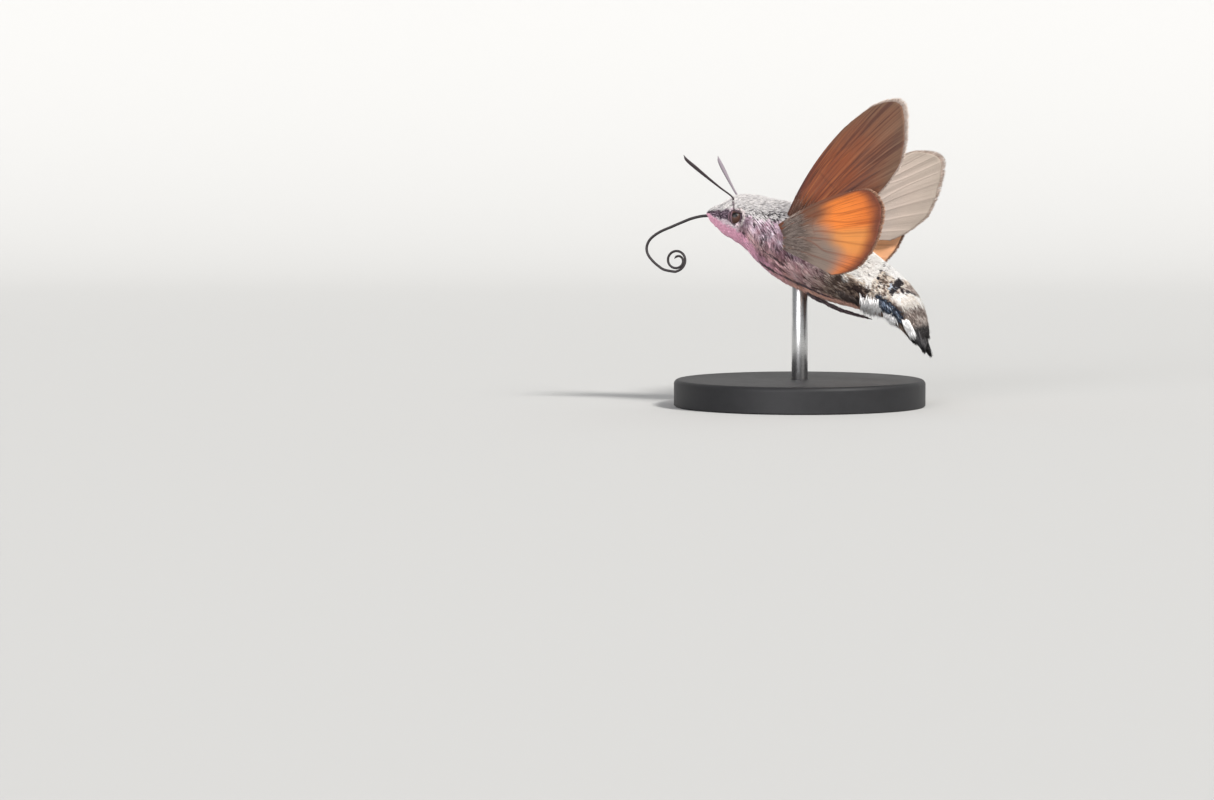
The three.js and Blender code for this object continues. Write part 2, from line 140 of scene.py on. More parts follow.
class Paint:
    """A material on one Principled shader. node() adds a node from its type, settings and inputs."""

    def __init__(self, name, **constants):
        self.material = bpy.data.materials.new(name)
        self.material.use_nodes = True
        self.tree = self.material.node_tree
        self.shader = self.tree.nodes["Principled BSDF"]
        for socket, value in constants.items():
            self.shader.inputs[socket.replace("_", " ")].default_value = value

    def node(self, kind, settings=None, inputs=None, output=0):
        made = self.tree.nodes.new(kind)
        for name, value in (settings or {}).items():
            if name == "stops":
                self.set_stops(made.color_ramp, value)
            else:
                setattr(made, name, value)
        pairs = inputs.items() if isinstance(inputs, dict) else enumerate(inputs or [])
        for key, value in pairs:
            socket = made.inputs[key]
            if isinstance(value, Term):
                self.tree.links.new(value.socket, socket)
            elif isinstance(value, tuple) and len(value) == 3 and socket.type == "RGBA":
                socket.default_value = (*value, 1)
            else:
                socket.default_value = value
        return Term(self, made.outputs[output])

    @staticmethod
    def set_stops(ramp, stops):
        while len(ramp.elements) < len(stops):
            ramp.elements.new(1.0)
        for element, (position, colour) in zip(ramp.elements, stops):
            element.position = position
            element.color = (*colour, 1) if isinstance(colour, tuple) else (colour, colour, colour, 1)

    def attribute(self, name):
        """The three parts of a vector attribute of the mesh."""
        vector = self.node("ShaderNodeAttribute", {"attribute_name": name}, output="Vector")
        parts = self.tree.nodes.new("ShaderNodeSeparateXYZ")
        self.tree.links.new(vector.socket, parts.inputs[0])
        return [Term(self, output) for output in parts.outputs]

    def place(self, stretch=(1, 1, 1)):
        """Object coordinates in millimetres, stretched."""
        where = self.node("ShaderNodeTexCoord", output="Object")
        return self.node("ShaderNodeVectorMath", {"operation": "MULTIPLY"},
                         [where, tuple(s / MM for s in stretch)])

    def noise(self, vector, scale, detail=3.0, rough=0.55):
        return self.node("ShaderNodeTexNoise", None,
                         {"Vector": vector, "Scale": scale, "Detail": detail, "Roughness": rough}, "Fac")

    def mix(self, share, first, second, blend="MIX"):
        """Colours mixed: the first where share is 0, the second where it is 1."""
        return self.node("ShaderNodeMix", {"data_type": "RGBA", "blend_type": blend},
                         {0: share, 6: first, 7: second}, 2)

    def ramp(self, value, stops):
        return self.node("ShaderNodeValToRGB", {"stops": stops}, {"Fac": value})

    def use(self, socket, term):
        self.tree.links.new(term.socket, self.shader.inputs[socket])

    def bump(self, height, depth):
        """Height in units of depth, which is in millimetres."""
        self.use("Normal", self.node("ShaderNodeBump", None,
                                     {"Strength": 1.0, "Distance": depth * MM, "Height": height}, "Normal"))


print("Term and Paint are ready")


# %% [markdown]
# ## From arrays to a mesh
#
# Each shape below is worked out as whole arrays: a grid of points, or one set of numbers per scale. One
# function puts such arrays into a mesh. It also leans the moth, because the whole animal is banked eight
# degrees, its left wing up, about a line fifteen millimetres above the floor.

# %% Put arrays into a mesh object
BANK, BANK_HEIGHT = math.radians(8), 15.0


def banked(points):
    """The points turned about the long axis, at the bank height, so that the left side rises."""
    turned = np.array(points, float)
    y, z = points[..., 1], points[..., 2] - BANK_HEIGHT
    turned[..., 1] = y * math.cos(BANK) + z * math.sin(BANK)
    turned[..., 2] = z * math.cos(BANK) - y * math.sin(BANK) + BANK_HEIGHT
    return turned


def make(name, points, faces, paint, replaces=(), attributes=None, uv=None, lean=True, smooth=True):
    """A piece from its points (n x 3, millimetres) and its faces (a list of index arrays, each of rows of
    equal length). Attributes hold three numbers per point, and uv holds two."""
    points = np.asarray(points, float).reshape(-1, 3)
    points = (banked(points) if lean else points) * MM
    corners = np.concatenate([f.ravel() for f in faces])
    counts = np.concatenate([np.full(len(f), f.shape[1]) for f in faces])
    mesh = bpy.data.meshes.new(name)
    mesh.vertices.add(len(points))
    mesh.vertices.foreach_set("co", points.ravel())
    mesh.loops.add(len(corners))
    mesh.loops.foreach_set("vertex_index", corners.astype(np.int32))
    mesh.polygons.add(len(counts))
    starts = np.concatenate([[0], np.cumsum(counts)[:-1]])
    mesh.polygons.foreach_set("loop_start", starts.astype(np.int32))
    for attribute, values in (attributes or {}).items():
        layer = mesh.attributes.new(attribute, "FLOAT_VECTOR", "POINT")
        layer.data.foreach_set("vector", np.asarray(values, np.float32).reshape(-1))
    if uv is not None:
        layer = mesh.uv_layers.new(name="OFBake")
        layer.data.foreach_set("uv", np.asarray(uv, np.float32).reshape(-1, 2)[corners].ravel())
    mesh.update(calc_edges=True)
    mesh.validate()
    mesh.polygons.foreach_set("use_smooth", np.full(len(mesh.polygons), smooth))
    mesh.materials.append(paint.material)
    piece = bpy.data.objects.new(name, mesh)
    bpy.context.scene.collection.objects.link(piece)
    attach(piece, "root")
    if replaces:
        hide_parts(*replaces)
    print(name, len(mesh.polygons), "faces")
    return piece


def grid_faces(rows, columns, closed=False):
    """Quads over a grid of points stored row by row; closed joins the last column to the first."""
    row = np.arange(rows - 1)[:, None] * columns
    column = np.arange(columns if closed else columns - 1)[None, :]
    after = (column + 1) % columns
    below = row + columns
    return np.stack([row + column, row + after, below + after, below + column], -1).reshape(-1, 4)


def capped_tube(rings):
    """Points and faces of a closed tube over rings (rows x columns x 3), each end closed by a fan round the
    mean of its ring."""
    rows, columns = rings.shape[:2]
    first, last = rows * columns, rows * columns + 1
    points = np.concatenate([rings.reshape(-1, 3), rings[:1].mean(1), rings[-1:].mean(1)])
    here = np.arange(columns)
    after = (here + 1) % columns
    start = np.stack([np.full(columns, first), after, here], -1)
    end = np.stack([np.full(columns, last), here + first - columns, after + first - columns], -1)
    return points, [grid_faces(rows, columns, True), start, end]


def unit(vectors):
    """The vectors, each divided by its length."""
    return vectors / np.linalg.norm(vectors, axis=-1, keepdims=True)


def chances(count):
    """One random number from 0 to 1 for each of count pieces."""
    return rng.uniform(0, 1, count)


print("make() is ready")


# %% [markdown]
# ## The body as a formula
#
# A row of stations runs along the spine from the palps to the end of the tail brush. Each gives the spine's
# place, half the body's width and half its height, and a smooth curve joins them. A point of the body is
# then named by its station and by its angle round the spine, from the back over the left side. The same
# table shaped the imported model, so that whatever is set on this surface fits it.

# %% The body's stations
SPINE = np.array([
    (-11.0, 21.4, 0.3, 0.25), (-10.3, 21.31, 0.8, 0.86), (-9.3, 21.12, 1.35, 1.53), (-8.35, 21.0, 1.85, 2.15),
    (-7.3, 20.94, 2.2, 2.63), (-6.05, 20.7, 2.5, 2.9), (-4.75, 20.2, 3.0, 3.2), (-2.9, 19.3, 3.6, 3.85),
    (-0.62, 18.1, 3.9, 4.3), (2.6, 16.35, 3.75, 4.2), (5.3, 15.0, 3.5, 3.65), (7.6, 13.9, 3.4, 3.15),
    (9.6, 12.9, 3.25, 2.7), (11.3, 11.75, 2.9, 2.3), (12.5, 10.45, 2.45, 1.85), (13.35, 9.1, 1.95, 1.38),
    (14.0, 7.75, 1.5, 0.92), (14.5, 6.75, 1.9, 0.6), (14.95, 5.8, 1.5, 0.3)])
LAST = len(SPINE) - 1


def spline(points, at):
    """A Catmull-Rom curve through the points, each span a cubic whose slopes are half the difference of the
    neighbours; at runs from 0 at the first point to the number of spans at the last."""
    points = np.asarray(points, float)
    at = np.asarray(at, float)
    padded = np.concatenate([[2 * points[0] - points[1]], points, [2 * points[-1] - points[-2]]])
    span = np.clip(np.floor(at).astype(int), 0, len(points) - 2)
    t = (at - span)[..., None]
    a, b, c, d = (padded[span + i] for i in range(4))
    slope_b, slope_c = (c - a) / 2, (d - b) / 2
    cubic, square = 2 * b - 2 * c + slope_b + slope_c, 3 * c - 3 * b - 2 * slope_b - slope_c
    return cubic * t**3 + square * t**2 + slope_b * t + b


def body(station, angle, off=0.0):
    """A point of the body: spine + width * sin(angle) to the left + height * cos(angle) upwards, then off
    millimetres outwards along the normal of that ellipse."""
    station, angle, off = np.broadcast_arrays(station, angle, off)
    here = spline(SPINE, station)
    ahead = unit(spline(SPINE, station + 0.001)[..., :2] - spline(SPINE, station - 0.001)[..., :2])
    side, rise = -np.sin(angle), np.cos(angle)
    out_side, out_rise = side / here[..., 2], rise / here[..., 3]
    length = np.hypot(out_side, out_rise)
    across = side * here[..., 2] + off * out_side / length
    raised = rise * here[..., 3] + off * out_rise / length
    return np.stack([here[..., 0] - ahead[..., 1] * raised, across, here[..., 1] + ahead[..., 0] * raised], -1)


def pace(station):
    """Millimetres along the spine for one station."""
    step = spline(SPINE, station + 0.01)[..., :2] - spline(SPINE, station - 0.01)[..., :2]
    return np.linalg.norm(step, axis=-1) / 0.02


def girth(station, angle):
    """The radius of the body's ellipse that a small turn of the angle sweeps."""
    here = spline(SPINE, station)
    return np.hypot(here[..., 2] * np.cos(angle), here[..., 3] * np.sin(angle))


print("the body is", round(float(np.ptp(body(np.linspace(0, LAST, 40), 0.0)[:, 0])), 1), "mm long")


# %% [markdown]
# ## The markings of skin and coat
#
# Skin and coat share one set of markings, so that no bare patch shows where the coat is thin. Every point
# carries its station and its angle as an attribute, and the colours are zones drawn in those two numbers:
# a pale speckled top, a dark line from the palps to the eye, a pale belly painted pink with reflected light,
# a purple-brown flank, and an abdomen with a white saddle, dark blotches and a black brush.

# %% Colours of the coat by station and angle
WHITE, PALE_GREY, SOOT = (0.69, 0.665, 0.655), (0.56, 0.54, 0.55), (0.03, 0.025, 0.03)
# REFLECTED_PINK is the pale belly tinted with painted pink reflected light
REFLECTED_PINK, SALMON, ROSE_BROWN = (0.9, 0.5, 0.64), (0.76, 0.45, 0.36), (0.44, 0.22, 0.26)
MAUVE, PLUM = (0.55, 0.3, 0.31), (0.085, 0.05, 0.07)
CREAM, FAWN, UMBER, BARK = (0.75, 0.66, 0.56), (0.33, 0.25, 0.2), (0.1, 0.068, 0.055), (0.035, 0.022, 0.02)
# station and angle, in degrees, of points on the lower edge of the pale top and on the belly's upper edge
TOP_EDGE = [(0, 66), (1, 72), (2.2, 78), (3.3, 72), (4.2, 70), (5.1, 84), (5.8, 84), (6.6, 76), (7.3, 69),
            (8.4, 62), (10, 58)]
BELLY_EDGE = [(0, 90), (1.3, 103), (2.7, 112), (4.1, 120), (5.7, 128), (7.2, 132), (7.9, 136), (8.5, 143),
              (9.1, 149), (10, 152), (11, 150), (13, 152), (15, 160)]


def edge_line(paint, station, points):
    """The angle, in degrees, of an edge that changes along the body: straight lines between the points."""
    stops = [(k / LAST, degrees / 180) for k, degrees in points]
    return paint.ramp(station / LAST, stops) * 180


def flank_colour(paint, chance, where, station, angle):
    """The flank's light and dark streaks: rose below, lilac above, dark behind the eye, brown at the rear."""
    streak = paint.ramp(chance, [(0.0, (0.012, 0.008, 0.012)), (0.21, (0.07, 0.035, 0.038)), (0.35, MAUVE),
                                 (0.62, (0.88, 0.55, 0.57)), (1.0, (0.99, 0.84, 0.84))])
    lilac = paint.ramp(chance, [(0.0, (0.012, 0.008, 0.012)), (0.21, (0.06, 0.035, 0.047)),
                                (0.36, (0.42, 0.26, 0.33)), (0.62, (0.74, 0.55, 0.66)),
                                (1.0, (0.98, 0.89, 0.95))])
    streak = paint.mix(angle.smooth(122, 98), streak, lilac)
    streak = paint.mix(paint.noise(where, 0.7, 2.0).smooth(0.5, 0.68) * 0.5, streak, ROSE_BROWN)
    behind_eye = station.band(5.1, 0.35, 0.4) * angle.band(108, 14, 8)
    streak = paint.mix(behind_eye * 0.6, streak, (0.16, 0.11, 0.14))
    brown = paint.ramp(chance, [(0.0, BARK), (0.45, UMBER), (0.75, FAWN), (1.0, (0.62, 0.53, 0.47))])
    return paint.mix(station.smooth(8.1, 9.9), streak, brown), brown


def head_marks(paint, colour, other, station, angle):
    """The colour with the head's marks: the pale cheek, the dark line from the palps to the eye, the pale rim
    round the eye, its dark socket and the seam behind the head."""
    cheek = (angle - station * 5.0).band(91, 7, 9) * station.smooth(0.8, 1.6) * station.smooth(4.9, 4.3)
    colour = paint.mix(cheek * 0.75, colour, (0.84, 0.76, 0.8))
    from_line = (angle - station * 3.5 - 80).math("ABSOLUTE")
    line = from_line.smooth(19, 11) * station.smooth(3.7, 3.2)
    line_colour = paint.mix(other.smooth(0.6, 0.9), (0.06, 0.038, 0.055), (0.4, 0.3, 0.37))
    colour = paint.mix(line, colour, line_colour)
    from_eye = (((station - 4.08) / 0.72) ** 2 + ((angle - 93) / 15.5) ** 2).math("SQRT")
    lid = from_eye.band(1.24, 0.13, 0.12) * station.smooth(3.4, 3.9) * angle.smooth(112, 98)
    colour = paint.mix(lid * 0.75, colour, (0.74, 0.68, 0.65))
    colour = paint.mix(from_eye.smooth(1.08, 1.02), colour, (0.1, 0.065, 0.08))
    seam = (station - angle * 0.011 - 3.0).math("ABSOLUTE").smooth(0.12, 0.06) * angle.band(62, 14, 4)
    return paint.mix(seam * 0.8, colour, PLUM)


def abdomen_marks(paint, colour, chance, other, station, angle, past_belly):
    """The colour with the abdomen's marks, laid one over the other: a white saddle, pale and dark streaks on
    the side, speckled rings, black bars and the blue-black side of the rear with painted light blue highlights."""
    paper_white, bright = (0.92, 0.91, 0.9), (0.95, 0.92, 0.88)
    marks = [
        (station.band(11.1, 0.95, 0.15) * angle.smooth(101, 94),
         paint.mix(other.smooth(0.93, 1.0), (0.98, 0.97, 0.95), (0.6, 0.56, 0.53))),
        (station.band(10.7, 0.5, 0.2) * angle.band(101, 7, 5) * chance.smooth(0.35, 0.5), CREAM),
        (station.band(11.1, 0.75, 0.15) * angle.band(121, 20, 6),
         paint.mix(chance.smooth(0.5, 1.0), BARK, FAWN)),
        (station.band(12.35, 0.68, 0.12) * angle.smooth(122, 116),
         paint.ramp(chance, [(0.0, BARK), (0.16, UMBER), (0.34, FAWN), (0.5, CREAM), (1.0, bright)])),
        (station.band(12.0, 0.5, 0.15) * angle.smooth(44, 36), paper_white),
        ((station - angle * 0.0046).band(11.34, 0.05, 0.03) * angle.smooth(102, 97) * chance.smooth(0.34, 0.3),
         SOOT),
        (station.smooth(12.75, 12.95) * angle.smooth(100, 88),
         paint.ramp(chance, [(0.0, UMBER), (0.3, (0.22, 0.17, 0.15)), (0.6, (0.48, 0.41, 0.37)),
                             (1.0, (0.72, 0.65, 0.6))])),
        (((station - angle * 0.003).band(12.46, 0.15, 0.04) * angle.band(54, 26, 6)
          + (station + angle * 0.016).band(13.72, 0.16, 0.05) * angle.band(36, 18, 6)
          * chance.smooth(0.75, 0.65)).smooth(0.2, 0.8), SOOT),
        (station.band(12.42, 0.07, 0.04) * angle.band(66, 7, 4), (0.6, 0.67, 0.78)),
        # the blue-black side of the rear, its light blue flecks painted highlights on glossy scales
        (station.band(13.1, 1.0, 0.15) * angle.band(120, 17, 5),
         paint.mix(other.smooth(0.8, 0.95), (0.022, 0.028, 0.045), (0.25, 0.33, 0.45))),
        ((station + angle * 0.0078).band(13.85, 0.3, 0.1) * angle.band(44, 40, 8),
         paint.mix(chance.smooth(0.0, 0.5), CREAM, (0.95, 0.94, 0.92))),
        (station.smooth(11.6, 12.8) * past_belly.smooth(-2, 8), paint.mix(chance, UMBER, (0.3, 0.22, 0.18))),
        (station.smooth(14.9, 15.4), paint.mix(chance, (0.012, 0.011, 0.012), (0.085, 0.078, 0.078))),
    ]
    for mask, shade in marks:
        colour = paint.mix(mask, colour, shade)
    return colour


def coat_colour(paint, chance, other, along):
    """The coat's colour. chance and other are random numbers for each lock, along runs from root to tip."""
    share, turn, _ = paint.attribute("place")
    where = paint.place()
    station, angle = share * LAST, turn * 180
    angle = angle + (paint.noise(where, 1.5, 4.0) - 0.5) * 20 + (chance - 0.5) * 11
    station = station + (paint.noise(where, 0.8, 2.0) - 0.5) * 0.3 + (chance - 0.5) * 0.14
    past_top = angle - edge_line(paint, station, TOP_EDGE)
    past_belly = angle - edge_line(paint, station, BELLY_EDGE)
    # the pale top, with more dark flecks near its lower edge, softer ones on the head
    flecks = 0.03 + past_top.smooth(-36, 0) * station.smooth(3.6, 5.2) * 0.32 + station.smooth(2.6, 0.8) * 0.1
    top = paint.mix(paint.noise(where, 2.4, 3.0).smooth(0.42, 0.72), WHITE, PALE_GREY)
    fleck_colour = paint.mix(station.smooth(6.0, 4.5), SOOT, (0.13, 0.12, 0.125))
    top = paint.mix((other + flecks).smooth(0.985, 1.02), top, fleck_colour)
    streak, brown = flank_colour(paint, chance, where, station, angle)
    # the belly: pale, with painted pink reflected light in front, turning salmon further back
    belly = paint.mix((station + chance * 0.8).smooth(7.6, 9.4), REFLECTED_PINK, SALMON)
    belly = paint.mix(other.smooth(0.86, 0.97) * station.smooth(4.4, 5.4), belly, PLUM)
    colour = paint.mix(past_top.smooth(-3, 3), top, streak)
    colour = paint.mix(past_belly.smooth(-4, 4), colour, belly)
    colour = head_marks(paint, colour, other, station, angle)
    colour = paint.mix(station.smooth(9.7, 10.2) * past_belly.smooth(0, -8), colour, brown)
    colour = abdomen_marks(paint, colour, chance, other, station, angle, past_belly)
    # painted shade: every lock is darker at its root, deep in the coat where little light reaches
    return paint.mix((1 - along) ** 1.5 * 0.45, colour, (0.34, 0.31, 0.33), "MULTIPLY")


skin_paint = Paint("skin_finish", Roughness=0.75, Specular_IOR_Level=0.2)
skin_where = skin_paint.place()
skin_chance = skin_paint.noise(skin_where, 4.0, 2.0).smooth(0.3, 0.7)
skin_other = skin_paint.noise(skin_paint.place((1.1, 1.1, 1.1)), 5.0, 2.0).smooth(0.25, 0.7)
# painted shade: the skin counts as lying near the roots, so it takes the same darkening as the deep coat
skin_along = skin_paint.noise(skin_where, 2.0) * 0.5
skin_paint.use("Base Color", coat_colour(skin_paint, skin_chance, skin_other, skin_along))
skin_paint.bump(skin_paint.noise(skin_paint.place((1, 2.4, 1)), 6.0, 4.0), 0.06)

coat_paint = Paint("coat_finish", Roughness=0.6, Specular_IOR_Level=0.25)
coat_along, coat_chance, coat_other = coat_paint.attribute("lock")
coat_paint.use("Base Color", coat_colour(coat_paint, coat_chance, coat_other, coat_along))
print("skin and coat share their markings")


# %% [markdown]
# ## The skin
#
# The skin is one closed surface from the palps to the root of the tail brush. It lies inside the packed
# body by the depth of the coat: deep under the long hair of the thorax, shallow on the face. The two palps
# are parted by a groove, in which the tongue starts.

# %% Build the skin
SKIN_START, SKIN_END = 0.12, 16.6
SKIN_GRID = (200, 112)  # rows along the body and points round it
COAT_DEPTH = [(0, 0.1), (1.5, 0.14), (3, 0.2), (5, 0.28), (7, 0.4), (9, 0.42), (10.5, 0.3), (13, 0.26),
              (15, 0.22), (16.2, 0.2), (LAST, 0.15)]


def coat_depth(station):
    """How far the skin lies inside the tips of the coat, in millimetres."""
    return np.interp(station, *zip(*COAT_DEPTH))


def groove(station, angle):
    """Depth of the groove between the palps: a narrow dip on the middle line that ends before the brow."""
    from_middle = np.minimum(np.abs(angle), math.pi - np.abs(angle))
    face_only = np.clip((2.6 - station) / 1.2, 0, 1) * np.clip(station / 0.6, 0, 1)
    return 0.5 * np.exp(-((from_middle / 0.22) ** 2)) * face_only


def skin_point(station, angle, off=0.0):
    """A point of the skin: the body's surface less the coat's depth and the groove."""
    angle = np.asarray(angle)
    wrapped = (angle + math.pi) % (2 * math.pi) - math.pi
    return body(station, angle, off - coat_depth(station) - groove(station, wrapped))


def place_of(station, angle):
    """The attribute that names a place on the body: share of the stations, turn from the back, and side."""
    wrapped = (angle + math.pi) % (2 * math.pi) - math.pi
    return np.stack(np.broadcast_arrays(station / LAST, np.abs(wrapped) / math.pi, np.sign(wrapped)), -1)


k_rows, a_columns = np.meshgrid(np.linspace(SKIN_START, SKIN_END, SKIN_GRID[0]),
                                np.linspace(0, 2 * math.pi, SKIN_GRID[1], endpoint=False), indexing="ij")
skin_points, skin_faces = capped_tube(skin_point(k_rows, a_columns))
skin_place = place_of(k_rows, a_columns).reshape(-1, 3)
skin_place = np.concatenate([skin_place, skin_place[:1], skin_place[-1:]])
make("skin", skin_points, skin_faces, skin_paint,
     ("head", "palp_left", "palp_right", "thorax", "abdomen"), {"place": skin_place})


# %% [markdown]
# ## One coat scale, and thousands of them
#
# A moth's fur is made of scales, some short and flat, some drawn out like hairs. Each one here is a thin
# closed blade with a ridge: three corners at the root, at a third and at two thirds of its length, and one
# point at the tip. All blades of a piece are computed together, as arrays with one row for each blade.

# %% Blades from rails
BLADE_ROWS = np.array([0.0, 0.38, 0.72])
BLADE_POINTS = 10  # three rings of three, and the tip


def blade_faces(count):
    """Triangles of closed blades: the root, the sides from ring to ring, and the tip."""
    one = [(0, 2, 1)]
    for ring in (0, 3):
        for corner in range(3):
            a, b = ring + corner, ring + (corner + 1) % 3
            one += [(a, b, b + 3), (a, b + 3, a + 3)]
    one += [(6 + corner, 6 + (corner + 1) % 3, 9) for corner in range(3)]
    return (np.array(one)[None] + BLADE_POINTS * np.arange(count)[:, None, None]).reshape(-1, 3)


def blades(left, middle, other, tip):
    """Points of blades from the left, ridge and right rail (count x 3 rows x 3) and the tips (count x 3)."""
    rings = np.stack([left, other, middle], 2)
    return np.concatenate([rings.reshape(len(tip), 9, 3), tip[:, None]], 1)


def lock_attribute(chance, other):
    """The attribute of a blade's points: share of its length, and its two random numbers."""
    along = np.tile(np.append(np.repeat(BLADE_ROWS, 3), 1.0), (len(chance), 1))
    return np.stack([along, *(np.repeat(value[:, None], BLADE_POINTS, 1) for value in (chance, other))], -1)


# where a blade's ten points lie on its patch of the bake map
PATCH = 0.003 * np.array([(-0.4, 0), (0.4, 0), (0, 0), (-0.5, 0.38), (0.5, 0.38), (0, 0.38), (-0.3, 0.72),
                          (0.3, 0.72), (0, 0.72), (0, 1)])


def bake_map(across, along):
    """A patch 0.003 across for each blade, at its root's place on the unwrapped skin, from 0 to 1."""
    return np.clip(np.stack([across, along], -1)[:, None] * 0.99 + 0.005 + PATCH[None], 0, 1)


def body_map(station, angle):
    """The patches of blades that are rooted on the body."""
    return bake_map(station / LAST, angle / (2 * math.pi) % 1)


def free_blades(root, direction, face, length, width, bend):
    """Blades from their root along a direction. Each bends by bend times the square of its share towards its
    face, and is widest at a third of its length."""
    direction = unit(direction)
    across = unit(np.cross(direction, face))
    face = np.cross(across, direction)
    rows = np.append(BLADE_ROWS, 1.0)[None, :, None]
    length, width, bend = (np.asarray(v, float).reshape(-1, 1, 1) for v in (length, width, bend))
    line = root[:, None] + direction[:, None] * length * rows + face[:, None] * bend * rows**2
    half = width / 2 * np.array([0.6, 1.0, 0.75])[None, :, None]
    return blades(line[:, :3] - across[:, None] * half, line[:, :3] + face[:, None] * half * 0.4,
                  line[:, :3] + across[:, None] * half, line[:, 3])


print("a blade has", len(blade_faces(1)), "triangles")


# %% [markdown]
# ## Laying the coat
#
# Roots are scattered over the body, denser where the scales are small. Each blade follows the body: it
# starts on the skin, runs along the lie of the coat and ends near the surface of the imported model. On the
# flank the long hair doesn't run straight back but sweeps down from the wing's root.

# %% Scatter and lay the coat
def sweep(station, angle):
    """How the lie turns downwards, as the tangent of its slope to the body's length: a bell of the angle times
    a bell of the station, strongest on the flank below the wing roots."""
    flank = np.exp(-(((np.abs(angle) - 1.65) / 0.6) ** 2)) * np.exp(-(((station - 6.6) / 2.0) ** 2))
    return 0.85 * flank * np.sign(angle)


def off_eye(station, angle):
    """True outside the bare ellipse that the eye fills on either side of the head."""
    return ((station - 4.05) / 0.7) ** 2 + ((np.abs(angle) - 1.64) / 0.26) ** 2 > 1


def scatter(count, stations, angles):
    """Roots spread evenly over a part of the body: even draws of station and angle, kept in proportion to
    the area that a small step of each sweeps there."""
    station = rng.uniform(*stations, count * 5)
    angle = rng.uniform(*angles, count * 5)
    area = pace(station) * girth(station, angle)
    keep = (rng.uniform(0, area.max(), count * 5) < area) & off_eye(station, angle)
    return station[keep][:count], angle[keep][:count]


def lay_coat(name, count, stations, angles, length, width, stand=0.0, wild=0.08, gather=0.5, bunch=12, own=0.7):
    """A piece of coat. length and width are the blades' in millimetres, stand is how far the tips stand out
    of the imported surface, wild is how much the blades differ in direction, and each bunch of blades gathers
    towards one point by the share gather. own is how far a bunch keeps one shade."""
    angles = np.radians(angles)
    station, angle = scatter(count, stations, angles)
    count = len(station)
    # each blade belongs to the nearest heart, whose shade and direction it shares
    heart_k, heart_a = scatter(count // bunch, stations, angles)
    wide_way = girth(station, angle)[:, None]
    apart = (((station[:, None] - heart_k) * pace(station)[:, None]) ** 2
             + ((angle[:, None] - heart_a) * wide_way) ** 2)
    mine = np.argmin(apart, axis=1)
    heart_chance = chances(len(heart_k))
    chance = own * heart_chance[mine] + (1 - own) * chances(count) + rng.normal(0, 0.08, count)
    chance = np.clip(chance, 0, 1)
    long = length * rng.uniform(0.7, 1.2, count)
    slope = np.arctan(sweep(station, angle)) + rng.normal(0, wild, count)
    slope = slope + rng.normal(0, wild, len(heart_k))[mine]
    wide = width * rng.uniform(0.8, 1.25, count) / 2
    # blades that would reach over the eye are cut short
    long = np.where(off_eye(station + long / pace(station), angle), long, long * 0.3)
    rows = np.append(BLADE_ROWS, 1.0)[None]
    along, around = (long[:, None] * rows * part(slope)[:, None] for part in (np.cos, np.sin))
    pull = gather * rows**1.5
    at_station = station[:, None] + along / pace(station)[:, None] + (heart_k[mine] - station)[:, None] * pull
    at_station = np.clip(at_station, 0.1, LAST)
    at_angle = angle[:, None] + around / wide_way + (heart_a[mine] - angle)[:, None] * pull
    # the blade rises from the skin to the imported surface, and its tip a little beyond it
    lift = rng.uniform(-0.2, 0.25, count) * coat_depth(station)
    lift = lift + stand * (0.6 * chances(len(heart_k))[mine] + 0.4 * chances(count))
    under = (coat_depth(at_station) + 0.03) * (1 - rows**0.75) + groove(at_station, at_angle)
    rise = lift[:, None] * rows**1.3 - under
    half = wide[:, None] * np.array([0.75, 1.0, 0.7])
    near_k, near_a, near_rise = at_station[:, :3], at_angle[:, :3], rise[:, :3]
    step_k = half * np.sin(slope)[:, None] / pace(near_k)
    step_a = half * np.cos(slope)[:, None] / girth(near_k, near_a)
    points = blades(body(near_k + step_k, near_a - step_a, near_rise),
                    body(near_k, near_a, near_rise + 0.5 * half),
                    body(near_k - step_k, near_a + step_a, near_rise),
                    body(at_station[:, 3], at_angle[:, 3], rise[:, 3]))
    # a blade takes the markings of the places it passes, though its tip keeps some of its root's
    seen = place_of(*(np.repeat(start[:, None] + 0.7 * (at - start[:, None]), (3, 3, 3, 1), 1)
                      for start, at in ((station, at_station), (angle, at_angle))))
    return make(name, points, [blade_faces(count)], coat_paint, (),
                {"place": seen, "lock": lock_attribute(chance, chances(count))}, body_map(station, angle))


lay_coat("coat_palps", 5000, (0.25, 2.6), (-180, 180), 0.5, 0.09, 0.12, 0.1)
lay_coat("coat_head", 10000, (2.2, 5.4), (-180, 180), 0.6, 0.1, 0.05)
lay_coat("coat_thorax_top", 10000, (5.0, 10.1), (-86, 86), 0.8, 0.13, 0.04, 0.07, 0.3, 8)
for side, flank in (("left", (70, 150)), ("right", (-150, -70))):
    lay_coat("coat_flank_" + side, 8500, (4.9, 10.1), flank, 2.2, 0.12, 0.2, 0.09, 0.75, 20, 0.8)
lay_coat("coat_belly", 6000, (4.6, 10.2), (130, 230), 1.3, 0.13, 0.08)
lay_coat("coat_abdomen_top", 10000, (9.7, 13.4), (-105, 105), 0.62, 0.14, 0.02, 0.09, 0.3, 7, 0.75)
lay_coat("coat_abdomen_under", 7000, (9.7, 13.4), (95, 265), 0.8, 0.15, 0.04)
lay_coat("coat_rear", 7500, (12.9, 15.6), (-180, 180), 1.2, 0.1, 0.2, 0.15)

